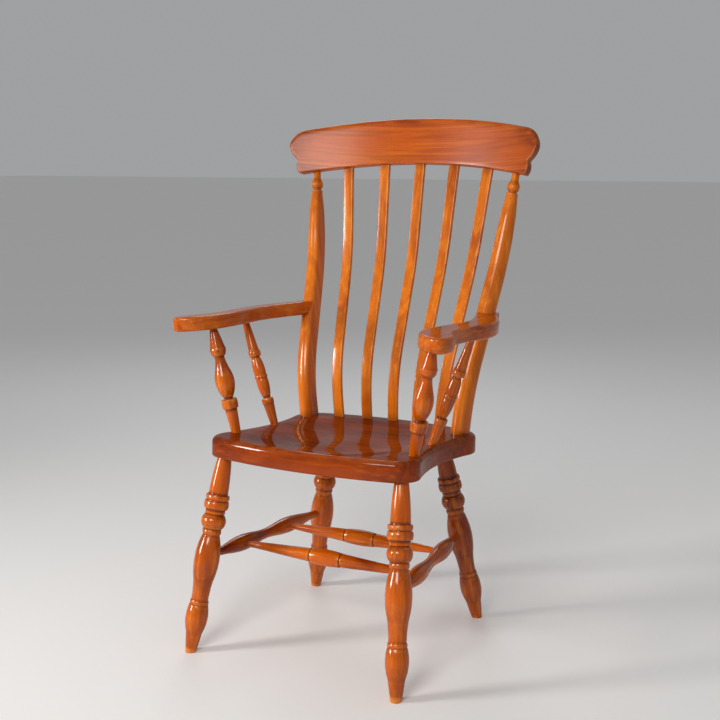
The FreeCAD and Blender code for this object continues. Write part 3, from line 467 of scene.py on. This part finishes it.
RING, GROOVE, TAPER, NECK = 5.0, 3.5, 9.5, 2.5
BALL_R, GROOVE_R, SHOULDER_R, NECK_R = 14.4, 9.8, 12.0, 8.5
PIN = 24.0


def make_posts():
    matrix, height = back_frame(POST_FOOT_X, POST_TOP_X)
    low = math.sqrt(BALL_R ** 2 - GROOVE_R ** 2)
    bulb = low + math.sqrt(BALL_R ** 2 - SHOULDER_R ** 2)
    shaft = height - (RING + GROOVE + bulb + TAPER + NECK) * math.cos(TOP_LEAN)
    heights = np.linspace(-14.0, shaft, 110)
    verts, faces = sweep_back(lambda w: post_section(max(w, 0.0) / shaft), heights)
    # Painted shade: the post darkens towards its foot in the seat, and the head darkens in its grooves.
    joint = np.clip(1.0 - verts[:, 2] / 16.0, 0.0, 1.0) * 0.8
    centre = RING + GROOVE + low
    bowl = [(BALL_R * math.cos(t), centre + BALL_R * math.sin(t))
            for t in np.linspace(-math.asin(low / BALL_R), math.acos(SHOULDER_R / BALL_R), 14)]
    rise = RING + GROOVE + bulb
    bowl += [(10.1, rise + 4.2), (8.9, rise + 7.6), (NECK_R, rise + 10.0)]
    bowl += [(NECK_R, rise + PIN), (0.0, rise + PIN)]
    ring = [(0.0, -0.5), (12.9, -0.5), (13.2, 2.0), (12.8, RING - 0.1)]
    ring += [(GROOVE_R, RING + 0.1), (GROOVE_R, 8.3)]
    profile = soften(ring + bowl, 0.6)
    head, head_faces, counts = revolve(profile, 48)
    s, a = back_profile(shaft)
    tip = Matrix.Translation((0, s, shaft)) @ Matrix.Rotation(-a, 4, "X")
    head_in = np.array([tip @ Vector(p) for p in head])
    all_verts = np.vstack([verts, head_in])
    all_faces = faces + [tuple(i + len(verts) for i in f) for f in head_faces]
    shade = np.concatenate([joint, spread(cavity(profile), counts)])
    both_sides("back_post", place(all_verts, matrix), all_verts, all_faces, shade, 0.0,
               lambda n: wood(n, 31 if "left" in n else 37, BACK_STAIN, coat=0.75, blur=0.16))


# Crest rail

def arc_through(a, b, c, steps):
    """Points of the arc through three points, without the last."""
    a, b, c = (np.array(p, float) for p in (a, b, c))
    sides = np.array([b - a, c - a])
    o = np.linalg.solve(sides, np.array([(b @ b - a @ a) / 2, (c @ c - a @ a) / 2]))
    angles = np.unwrap([math.atan2(*(p - o)[::-1]) for p in (a, b, c)])
    t = np.linspace(angles[0], angles[2], steps, endpoint=False)
    return o + np.linalg.norm(a - o) * np.column_stack([np.cos(t), np.sin(t)])


def crest_front():
    """Front outline of the rail as (x, z), lower middle first, counter-clockwise."""
    top_r, low_r, half, lobe, deep, in_by, drop = CREST_TOP_R, CREST_LOW_R, 317.5, 296.0, 107.9, 36.0, 36.0

    def upper(x):
        return np.array([x, deep - top_r + math.sqrt(top_r ** 2 - x ** 2)])

    def lower(x):
        return np.array([x, math.sqrt(low_r ** 2 - x ** 2) - low_r])

    shoulder, foot = upper(half - in_by), lower(lobe - 6.0)
    ear = np.array([half, shoulder[1] - drop])
    notch = np.array([lobe - 1.0, foot[1] + 31.0])
    throat = notch + 6.0
    ear_round = (half - 0.22 * in_by, ear[1] + 0.50 * drop)
    ear_side = (half - 0.2 * (half - throat[0]), (ear[1] + throat[1]) / 2.0)
    right = np.vstack([
        [lower(x) for x in np.linspace(0.0, foot[0], 50, endpoint=False)],
        arc_through(foot, (lobe + 1.5, notch[1] - 14.9), notch, 14),
        np.linspace(notch, throat, 4, endpoint=False),
        arc_through(throat, ear_side, ear, 16),
        arc_through(ear, ear_round, shoulder, 20),
        [upper(x) for x in np.linspace(shoulder[0], 0.0, 50)],
    ])
    return np.vstack([right, right[-2:0:-1] * np.array([-1.0, 1.0])])


def make_crest():
    front = even(crest_front(), 420)
    line = [(x, 52.0 - x * x / 2300.0) for x in np.linspace(-270.0, 270.0, 21)]
    spine = nearest_on(line, front)
    lift = (front[:, 1] - spine[:, 1]) / 45.0
    radius = 3.0 + 7.4 * np.clip((lift - 0.1) / 0.5, 0.0, 1.0)
    flat, faces, edge = slab(front, spine, CREST_T, radius, radius, inner=8, turns=6)
    x, z, off = flat[:, 0], flat[:, 1], -flat[:, 2] - CREST_T / 2.0
    y = -CREST_R + np.sqrt((CREST_R + off) ** 2 - x ** 2)
    verts = np.column_stack([x, y, z])
    turn = Matrix.Translation((0, CREST_Y, CREST_Z)) @ Matrix.Rotation(-TOP_LEAN, 4, "X")
    faces = [f[::-1] for f in faces]
    wear_and_highlight = edge * 0.15
    # Painted shade: the rail darkens towards its right end, where the glare falls off.
    shade = 0.35 * np.clip(x / 300.0, 0.0, 1.0) ** 1.5
    piece("crest_rail", place(verts, turn), np.column_stack([x, off, z]), faces, shade, wear_and_highlight,
          wood("crest_rail", 11, CREST_STAIN, rings=1.4, coat=0.6, blur=0.26), axis="x")


# Arms

ARM_Z, ARM_T, ARM_FRONT = 716.0, 31.0, 202.0
ARM_STATIONS = ((0.140, 29.0, 29.5), (0.262, 49.0, 31.0), (0.393, 57.0, 28.0), (0.533, 48.0, 25.0),
                (0.678, 41.5, 26.0), (0.785, 42.5, 29.0), (0.874, 59.0, 42.0))


def arm_frame():
    matrix, height = back_frame(POST_FOOT_X, POST_TOP_X)
    w = (ARM_Z - matrix.translation.z) / math.cos(math.atan2(POST_TOP_X - POST_FOOT_X, height))
    post = matrix @ Vector((0, back_profile(w)[0], w))
    turn = Matrix.Rotation(math.radians(-1.4), 4, "X") @ Matrix.Rotation(math.radians(4.0), 4, "Y")
    return Matrix.Translation(post) @ turn, post


def arm_under(x, y):
    matrix = arm_frame()[0]
    n = matrix.to_3x3() @ Vector((0, 0, 1))
    b = matrix @ Vector((0, 0, -ARM_T))
    return Vector((x, y, b.z - (n.x * (x - b.x) + n.y * (y - b.y)) / n.z))


def make_arms():
    matrix, post = arm_frame()
    wide, deep, flat = POST_SHAFT[2, 1:]
    ahead = ARM_FRONT + post.y
    inner = [(-flat, -deep * 0.72)] + [(o - h, -b * ahead) for b, o, h in ARM_STATIONS]
    outer = [(o + h, -b * ahead) for b, o, h in ARM_STATIONS][::-1]
    _, o, h = ARM_STATIONS[-1]
    nose = [(o - h * 0.50, 12.0 - ahead), (o + h * 0.85, -12.0 - ahead)]
    ear = [(wide + 9.0, -8.0), (wide + 8.0, deep * 0.4), (wide + 1.0, deep * 0.66), (0.0, 0.0)]
    points = inner + nose + outer + ear
    last = len(points) - 1
    plan = even(smooth_closed(points, sharp=(0, last - 1, last)), 300)
    line = [(12.0, -18.0)] + [(o, -b * ahead) for b, o, h in ARM_STATIONS[:-1]]
    line += [(58.0, 56.0 - ahead), (62.0, 40.0 - ahead)]
    spine = nearest_on(line, plan)
    near_post = plan[:, 1] > -deep * 0.9
    r = np.where(near_post, 1.5, 6.0)
    verts, faces, edge = slab(plan, spine, ARM_T, r, r * 0.9, inner=8, turns=7)
    wear_and_highlight = edge * 0.25
    both_sides("arm", place(verts, matrix), verts, faces, 0.0, wear_and_highlight,
               lambda n: wood(n, 41 if "left" in n else 47, ARM_STAIN, rings=1.2), axis="y")


# Turned pieces: members as length, lower radius, upper radius, belly

LEG = (
    (42.0, 11.5, 17.6, 0.2), (62.0, 17.6, 20.6, 5.0), (10.0, 19.4, 19.4, 1.1), (44.0, 18.4, 21.6, -0.8),
    (98.0, 21.6, 19.4, 6.9), (4.0, 18.8, 18.8, 0.0), (11.0, 19.4, 19.4, 1.3), (34.0, 18.6, 18.6, 8.2),
    (11.0, 21.4, 21.4, 0.0), (17.0, 25.4, 25.4, 1.6), (2.5, 23.0, 23.0, 0.0), (11.0, 24.4, 24.4, 1.5))
FRONT_SUPPORT = (
    (21.0, 17.0, 17.0, 0.9), (4.0, 9.8, 9.8, 0.0), (60.0, 11.0, 16.8, 7.0), (26.0, 16.8, 10.6, -0.5),
    (6.0, 10.6, 11.6, -0.4), (13.0, 12.6, 17.0, 1.6), (5.0, 17.4, 17.2, 0.5), (44.0, 16.6, 7.6, 0.2))
REAR_SUPPORT = (
    (13.0, 13.0, 13.0, 0.7), (5.0, 8.2, 8.8, 0.0), (42.0, 9.4, 13.2, 2.2), (8.0, 13.8, 13.8, 0.9),
    (38.0, 13.4, 10.8, 1.6), (5.0, 9.6, 9.6, 0.0), (15.0, 12.8, 12.8, 1.3), (69.0, 11.8, 7.2, 0.2))


def turned_pair(stem, members, start, foot, head, seeds, stain, floor=False, segments=60):
    profile = soften(stack(members, start))
    verts, faces, counts = revolve(profile, segments)
    matrix = stand(foot, head)
    world = place(verts, matrix)
    if floor:
        way = np.array((Vector(head) - Vector(foot)).normalized())
        under = world[:, 2] < 0.0
        world[under] -= way * (world[under, 2:3] / way[2])
    # Painted shade darkens the grooves of the turning.
    shade, wear_and_highlight = spread(cavity(profile), counts), spread(ridge(profile), counts)
    if floor:
        wear_and_highlight = np.maximum(wear_and_highlight, np.clip(1.2 - verts[:, 2] / 9.0, 0.0, 1.0) * 2.0)
    both_sides(stem, world, verts, faces, shade, wear_and_highlight,
               lambda n: wood(n, seeds[0] if "left" in n else seeds[1], stain))


def leg_ends(front):
    if front:
        return Vector((250.0, -257.0, 0.0)), under_seat(213.5, -163.0)
    return Vector((218.0, 219.0, 0.0)), under_seat(149.0, 170.0)


def make_legs():
    for name, front, seeds in (("front_leg", True, (51, 53)), ("rear_leg", False, (57, 59))):
        foot, head = leg_ends(front)
        span = (head - foot).length
        neck = span - sum(m[0] for m in LEG)
        members = ((6.0, 11.4, 11.5, 0.0),) + LEG + ((neck, 21.0, 14.2, 1.5), (10.0, 14.2, 14.2, 0.0))
        turned_pair(name, members, -6.0, foot, head, seeds, LEG_STAIN, floor=True)


def make_supports():
    for name, foot_xy, head_xy, foot_r, cone_r, body, seeds in (
            ("front_arm_support", (217.0, -115.0), (262.9, -128.0), 10.4, 13.6, FRONT_SUPPORT, (61, 67)),
            ("rear_arm_support", (198.0, 10.0), (280.4, 22.0), 8.6, 12.4, REAR_SUPPORT, (71, 73))):
        foot, head = rim_point(*foot_xy), arm_under(*head_xy)
        cone = (head - foot).length - sum(m[0] for m in body)
        members = ((12.0, foot_r, foot_r, 0.0), (cone, foot_r, cone_r, 0.0)) + body + ((8.0, 7.3, 7.3, 0.0),)
        turned_pair(name, members, -12.0, foot, head, seeds, LEG_STAIN, segments=52)


STRETCHER_Z = 204.0
SIDE_PIN, SIDE_SWELL, SIDE_WAIST = 7.8, 18.0, 11.5
SIDE_FROM, SIDE_BARE = 12.0, 22.0
CROSS_Y = {"front": -97.0, "rear": 57.0}
CROSS_PIN, CROSS_CONE, CROSS_GROOVE, CROSS_BARREL, CROSS_BULGE = 6.6, 15.0, 13.0, 15.6, 2.4
CROSS_BARREL_LENGTH, CROSS_GROOVE_LENGTH, CROSS_PIN_LENGTH = 72.0, 3.0, 5.0


def leg_point(front, z):
    foot, head = leg_ends(front)
    return foot + (head - foot) * (z / head.z)


def side_point(y):
    start, end = leg_point(True, STRETCHER_Z), leg_point(False, STRETCHER_Z)
    return start + (end - start) * ((y - start.y) / (end.y - start.y))


def make_stretchers():
    start, end = leg_point(True, STRETCHER_Z), leg_point(False, STRETCHER_Z)
    span = (end - start).length
    first, second = [(side_point(y) - start).length for y in CROSS_Y.values()]
    stops = [(SIDE_FROM, SIDE_PIN), (SIDE_BARE, SIDE_PIN), (first, SIDE_SWELL),
             ((first + second) / 2, SIDE_WAIST), (second, SIDE_SWELL),
             (span - SIDE_BARE, SIDE_PIN), (span - SIDE_FROM, SIDE_PIN)]
    profile = [(0.0, SIDE_FROM)]
    for (z0, r0), (z1, r1) in zip(stops, stops[1:]):
        for t in np.linspace(0.0, 1.0, 14, endpoint=False):
            profile.append((r0 + (r1 - r0) * (1 - math.cos(math.pi * t)) / 2, z0 + (z1 - z0) * t))
    profile += [(SIDE_PIN, span - SIDE_FROM), (0.0, span - SIDE_FROM)]
    profile = np.array(profile)
    verts, faces, counts = revolve(profile, 48)
    world = place(verts, stand(start, end))
    both_sides("side_stretcher", world, verts, faces, 0.0, 0.0,
               lambda n: wood(n, 81 if "left" in n else 83, LEG_STAIN))
    for end_name, seed in (("front", 87), ("rear", 89)):
        name = "cross_stretcher_" + end_name
        spot = side_point(CROSS_Y[end_name])
        half = spot.x - SIDE_SWELL + 1.0
        taper = half - CROSS_BARREL_LENGTH / 2.0 - CROSS_GROOVE_LENGTH
        pin = (CROSS_PIN_LENGTH, CROSS_PIN, CROSS_PIN, 0.0)
        groove = (CROSS_GROOVE_LENGTH, CROSS_GROOVE, CROSS_GROOVE, 0.0)
        barrel = (CROSS_BARREL_LENGTH, CROSS_BARREL, CROSS_BARREL, CROSS_BULGE)
        widening, narrowing = (taper, CROSS_PIN, CROSS_CONE, 0.0), (taper, CROSS_CONE, CROSS_PIN, 0.0)
        members = (pin, widening, groove, barrel, groove, narrowing, pin)
        profile = soften(stack(members, -half - CROSS_PIN_LENGTH))
        verts, faces, counts = revolve(profile, 52)
        centre = Vector((0, spot.y, spot.z))
        world = place(verts, stand(centre, centre + Vector((1, 0, 0))))
        # Painted shade darkens the grooves of the turning.
        piece(name, world, verts, faces, spread(cavity(profile), counts), spread(ridge(profile), counts),
              wood(name, seed, LEG_STAIN))


def make_plugs():
    """Wooden plugs behind the posts, over the screws."""
    for side in ("left", "right"):
        node = "arm_screw_plug_" + side
        low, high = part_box(node)
        centre = (low + high) / 2.0
        r = (high.x - low.x) / 2.0 * 1000.0 - 0.02
        depth = (high.y - low.y) * 1000.0
        crown = [(r, depth - 0.5), (r - 0.6, depth - 0.15), (0.0, depth - 0.05)]
        profile = soften([(0.0, 0.0), (r, 0.0)] + crown, 0.2)
        verts, faces = revolve(profile, 32)[:2]
        outer = Vector((centre.x * 1000.0, low.y * 1000.0 - SHIFT_Y + depth, centre.z * 1000.0))
        spot = stand(outer, outer + Vector((0.0, 1.0, 0.0)))
        verts = verts - np.array([0.0, 0.0, depth])
        piece(node, place(verts, spot), verts, faces, 0.0, 0.4, wood(node, 91, LEG_STAIN))


# Materials

def rgb(r, g, b):
    """A colour as it looks on screen, for a shader socket."""
    return tuple(((c / 255.0 + 0.055) / 1.055) ** 2.4 if c > 10 else c / 3294.6 for c in (r, g, b)) + (1.0,)


def darker(colour, share):
    return tuple(c * share for c in colour[:3]) + (1.0,)


# Stain colours: deep, middle, light, and worn, which also serves as a painted highlight; the back's worn
# colour is only a painted highlight on the laths' side edges.
BACK_STAIN = (rgb(156, 66, 4), rgb(208, 108, 14), rgb(232, 144, 36), rgb(234, 166, 80))
CREST_STAIN = (rgb(122, 38, 2), rgb(182, 78, 4), rgb(216, 122, 18), rgb(228, 152, 70))
ARM_STAIN = (rgb(122, 38, 3), rgb(186, 82, 5), rgb(216, 120, 18), rgb(226, 146, 62))
LEG_STAIN = (rgb(112, 34, 2), rgb(192, 86, 5), rgb(224, 128, 20), rgb(226, 142, 58))
SEAT_STAIN = (rgb(84, 24, 2), rgb(142, 54, 4), rgb(176, 78, 10), rgb(196, 110, 36))


def node(tree, kind, **settings):
    n = tree.nodes.new(kind)
    for key, value in settings.items():
        setattr(n, key, value)
    return n


def link(tree, value, socket):
    if isinstance(value, bpy.types.NodeSocket):
        tree.links.new(value, socket)
    elif value is not None:
        socket.default_value = value


def math_node(tree, operation, a, b=None, clamp=False):
    n = node(tree, "ShaderNodeMath", operation=operation, use_clamp=clamp)
    for value, socket in zip((a, b), n.inputs):
        link(tree, value, socket)
    return n.outputs[0]


def span(tree, value, low, high, to_low=0.0, to_high=1.0):
    n = node(tree, "ShaderNodeMapRange", interpolation_type="SMOOTHSTEP")
    names = ("Value", "From Min", "From Max", "To Min", "To Max")
    for v, name in zip((value, low, high, to_low, to_high), names):
        link(tree, v, n.inputs[name])
    return n.outputs["Result"]


def times(tree, a, b):
    return math_node(tree, "MULTIPLY", a, b)


def blend_colour(tree, factor, a, b):
    n = node(tree, "ShaderNodeMix", data_type="RGBA")
    link(tree, factor, n.inputs[0])
    link(tree, a, n.inputs[6])
    link(tree, b, n.inputs[7])
    return n.outputs[2]


def stretched(tree, vector, scale, shift):
    n = node(tree, "ShaderNodeMapping")
    link(tree, vector, n.inputs["Vector"])
    n.inputs["Location"].default_value = shift
    n.inputs["Scale"].default_value = scale
    return n.outputs["Vector"]


def noise(tree, vector, scale, detail=2.0, rough=0.5, twist=0.0):
    n = node(tree, "ShaderNodeTexNoise")
    link(tree, vector, n.inputs["Vector"])
    n.inputs["Scale"].default_value = scale
    n.inputs["Detail"].default_value = detail
    n.inputs["Roughness"].default_value = rough
    n.inputs["Distortion"].default_value = twist
    return n.outputs["Fac"]


def wood(name, seed, stain, rings=1.0, boards=False, coat=0.8, blur=0.12):
    """Stained and lacquered beech: growth rings, fibres, ray flecks, painted shade in hollows and at joints,
    and rubbed edges with a painted highlight on the lath sides.
    """
    deep, middle, light, worn_and_highlight = stain
    mat = bpy.data.materials.new("wood_" + name)
    mat.use_nodes = True
    tree = mat.node_tree
    tree.nodes.clear()
    out = node(tree, "ShaderNodeOutputMaterial")
    shader = node(tree, "ShaderNodeBsdfPrincipled")
    tree.links.new(shader.outputs[0], out.inputs["Surface"])
    grain = node(tree, "ShaderNodeAttribute", attribute_name="grain").outputs["Vector"]
    shade = node(tree, "ShaderNodeAttribute", attribute_name="shade").outputs["Fac"]
    wear_and_highlight = node(tree, "ShaderNodeAttribute", attribute_name="wear_and_highlight").outputs["Fac"]
    shift = (seed * 0.371 % 3.0, seed * 0.613 % 3.0, seed * 0.197 % 3.0)

    # Growth rings, as level lines of a field drawn out along the grain
    field = noise(tree, stretched(tree, grain, (1.0, 1.0, 0.07), shift), 13.0 * rings, 2.0, 0.45, 0.25)
    waves = math_node(tree, "SINE", times(tree, field, 46.0))
    late = span(tree, waves, 0.1, 1.0)
    # Fibres and pores
    fibre = noise(tree, stretched(tree, grain, (1.0, 1.0, 0.03), shift), 700.0, 3.0, 0.6)
    streak = noise(tree, stretched(tree, grain, (1.0, 1.0, 0.02), shift), 130.0, 3.0, 0.6)
    # Ray flecks: short dark dashes
    fleck = node(tree, "ShaderNodeTexVoronoi")
    tree.links.new(stretched(tree, grain, (1.0, 1.0, 0.22), shift), fleck.inputs["Vector"])
    fleck.inputs["Scale"].default_value = 520.0
    dash = span(tree, fleck.outputs["Distance"], 0.14, 0.30, 1.0, 0.0)
    cell = node(tree, "ShaderNodeSeparateColor")
    tree.links.new(fleck.outputs["Color"], cell.inputs[0])
    dash = times(tree, dash, span(tree, cell.outputs[0], 0.45, 0.75))
    # Clouds of stain
    cloud = noise(tree, stretched(tree, grain, (1.0, 1.0, 0.4), shift), 9.0, 3.0, 0.55, 0.3)
    small = noise(tree, stretched(tree, grain, (1.0, 1.0, 0.5), shift), 46.0, 3.0, 0.6, 0.4)

    tone = span(tree, cloud, 0.30, 0.58, 0.05, 1.0)
    colour = blend_colour(tree, tone, deep, middle)
    colour = blend_colour(tree, times(tree, span(tree, small, 0.35, 0.75), 0.45), colour, middle)
    colour = blend_colour(tree, times(tree, span(tree, streak, 0.45, 0.75), 0.55), colour, light)
    colour = blend_colour(tree, times(tree, late, 0.30), colour, deep)
    if boards:
        lane = node(tree, "ShaderNodeSeparateXYZ")
        tree.links.new(grain, lane.inputs[0])
        board = math_node(tree, "FLOOR", times(tree, lane.outputs[0], 9.5))
        pick = node(tree, "ShaderNodeTexWhiteNoise", noise_dimensions="1D")
        tree.links.new(board, pick.inputs["W"])
        colour = blend_colour(tree, times(tree, pick.outputs["Value"], 0.35), colour, deep)
    colour = blend_colour(tree, times(tree, span(tree, fibre, 0.50, 0.72), 0.30), colour, deep)
    colour = blend_colour(tree, times(tree, dash, 0.42), colour, darker(deep, 0.45))
    # Painted shade darkens the grooves of the turnings, the ends of the laths, the post feet and the right
    # end of the crest. Lacquer thins on rubbed edges; the lighter side edges of the laths are a painted
    # highlight.
    colour = blend_colour(tree, times(tree, shade, 0.72), colour, darker(deep, 0.30))
    rub_and_highlight = math_node(tree, "MULTIPLY", wear_and_highlight, span(tree, small, 0.40, 0.62), clamp=True)
    colour = blend_colour(tree, times(tree, rub_and_highlight, 0.55), colour, worn_and_highlight)
    tree.links.new(colour, shader.inputs["Base Color"])

    rough = math_node(tree, "ADD", 0.26, times(tree, small, 0.14))
    rough = math_node(tree, "ADD", rough, times(tree, rub_and_highlight, 0.12))
    tree.links.new(rough, shader.inputs["Roughness"])
    shader.inputs["IOR"].default_value = 1.47
    shader.inputs["Specular IOR Level"].default_value = 0.0
    shader.inputs["Coat Weight"].default_value = coat
    shader.inputs["Coat Roughness"].default_value = blur
    shader.inputs["Coat IOR"].default_value = 1.48

    peel = noise(tree, grain, 150.0, 2.0, 0.5)
    height = math_node(tree, "ADD", times(tree, fibre, 0.5), times(tree, peel, 0.8))
    height = math_node(tree, "SUBTRACT", height, times(tree, dash, 0.5))
    bump = node(tree, "ShaderNodeBump")
    bump.inputs["Strength"].default_value = 0.22
    bump.inputs["Distance"].default_value = 0.0004
    tree.links.new(height, bump.inputs["Height"])
    tree.links.new(bump.outputs[0], shader.inputs["Normal"])
    soft = node(tree, "ShaderNodeBump")
    soft.inputs["Strength"].default_value = 0.10
    soft.inputs["Distance"].default_value = 0.0004
    tree.links.new(peel, soft.inputs["Height"])
    tree.links.new(soft.outputs[0], shader.inputs["Coat Normal"])
    return mat


def steel():
    mat = bpy.data.materials.new("screw_steel")
    mat.use_nodes = True
    tree = mat.node_tree
    shader = tree.nodes["Principled BSDF"]
    shader.inputs["Metallic"].default_value = 1.0
    spot = node(tree, "ShaderNodeTexCoord").outputs["Object"]
    scratch = noise(tree, spot, 900.0, 3.0)
    shine = blend_colour(tree, scratch, rgb(120, 120, 124), rgb(176, 176, 180))
    tree.links.new(shine, shader.inputs["Base Color"])
    tree.links.new(span(tree, scratch, 0.3, 0.7, 0.25, 0.45), shader.inputs["Roughness"])
    return mat


# Build

make_seat()
make_laths()
make_posts()
make_crest()
make_arms()
make_legs()
make_supports()
make_stretchers()
make_plugs()
metal = steel()
for side in ("left", "right"):
    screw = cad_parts["arm_screw_" + side]
    screw.data.materials.clear()
    screw.data.materials.append(metal)

# Floor, light and camera

floor_mesh = bpy.data.meshes.new("floor")
floor_mesh.from_pydata([(-40, -40, 0), (40, -40, 0), (40, 40, 0), (-40, 40, 0)], [], [(0, 1, 2, 3)])
floor = bpy.data.objects.new("floor", floor_mesh)
bpy.context.scene.collection.objects.link(floor)
floor_mat = bpy.data.materials.new("floor_paint")
floor_mat.use_nodes = True
floor_shader = floor_mat.node_tree.nodes["Principled BSDF"]
floor_shader.inputs["Base Color"].default_value = (0.88, 0.87, 0.86, 1.0)
floor_shader.inputs["Roughness"].default_value = 0.8
floor_shader.inputs["Specular IOR Level"].default_value = 0.1
floor_mesh.materials.append(floor_mat)

world = bpy.data.worlds.new("studio")
bpy.context.scene.world = world
world.use_nodes = True
tree = world.node_tree
tree.nodes.clear()
sky = node(tree, "ShaderNodeBackground")
sky.inputs["Color"].default_value = (0.97, 0.985, 1.0, 1.0)
sky.inputs["Strength"].default_value = 0.36
tree.links.new(sky.outputs[0], node(tree, "ShaderNodeOutputWorld").inputs["Surface"])


def lamp(name, where, target, size, power, colour, spread=180.0):
    data = bpy.data.lights.new(name, "AREA")
    data.shape = "RECTANGLE"
    data.size, data.size_y = size
    data.energy = power
    data.spread = math.radians(spread)
    data.color = colour
    obj = bpy.data.objects.new(name, data)
    bpy.context.scene.collection.objects.link(obj)
    obj.location = where
    obj.rotation_euler = (Vector(target) - Vector(where)).to_track_quat("-Z", "Y").to_euler()


lamp("key", (0.30, -3.1, 2.05), (0.0, 0.0, 0.65), (1.3, 0.9), 54.0, (1.0, 0.97, 0.92))
lamp("left", (-3.2, -2.9, 1.5), (0.0, 0.0, 0.45), (0.8, 1.2), 15.0, (1.0, 0.98, 0.95), 60.0)
lamp("back", (-1.6, 2.4, 2.6), (0.0, 0.0, 0.6), (1.2, 1.0), 16.0, (0.95, 0.97, 1.0))


camera = bpy.data.cameras.new("camera")
camera.sensor_width = 36.0
camera.lens = 59.5045
eye = bpy.data.objects.new("camera", camera)
bpy.context.scene.collection.objects.link(eye)
az, pitch, roll = math.radians(28.82), math.radians(9.92), math.radians(-0.15)
ahead = Vector((-math.sin(az) * math.cos(pitch), math.cos(az) * math.cos(pitch), -math.sin(pitch)))
right = Vector((math.cos(az), math.sin(az), 0.0))
up = right.cross(ahead)
right, up = (right * math.cos(roll) + up * math.sin(roll), up * math.cos(roll) - right * math.sin(roll))
rows = Matrix((right, up, -ahead)).transposed().to_4x4()
eye.matrix_world = Matrix.Translation((1.24675, -2.2116 + SHIFT_Y * 0.001, 1.06603)) @ rows
bpy.context.scene.camera = eye
bpy.context.scene.view_settings.view_transform = "Standard"
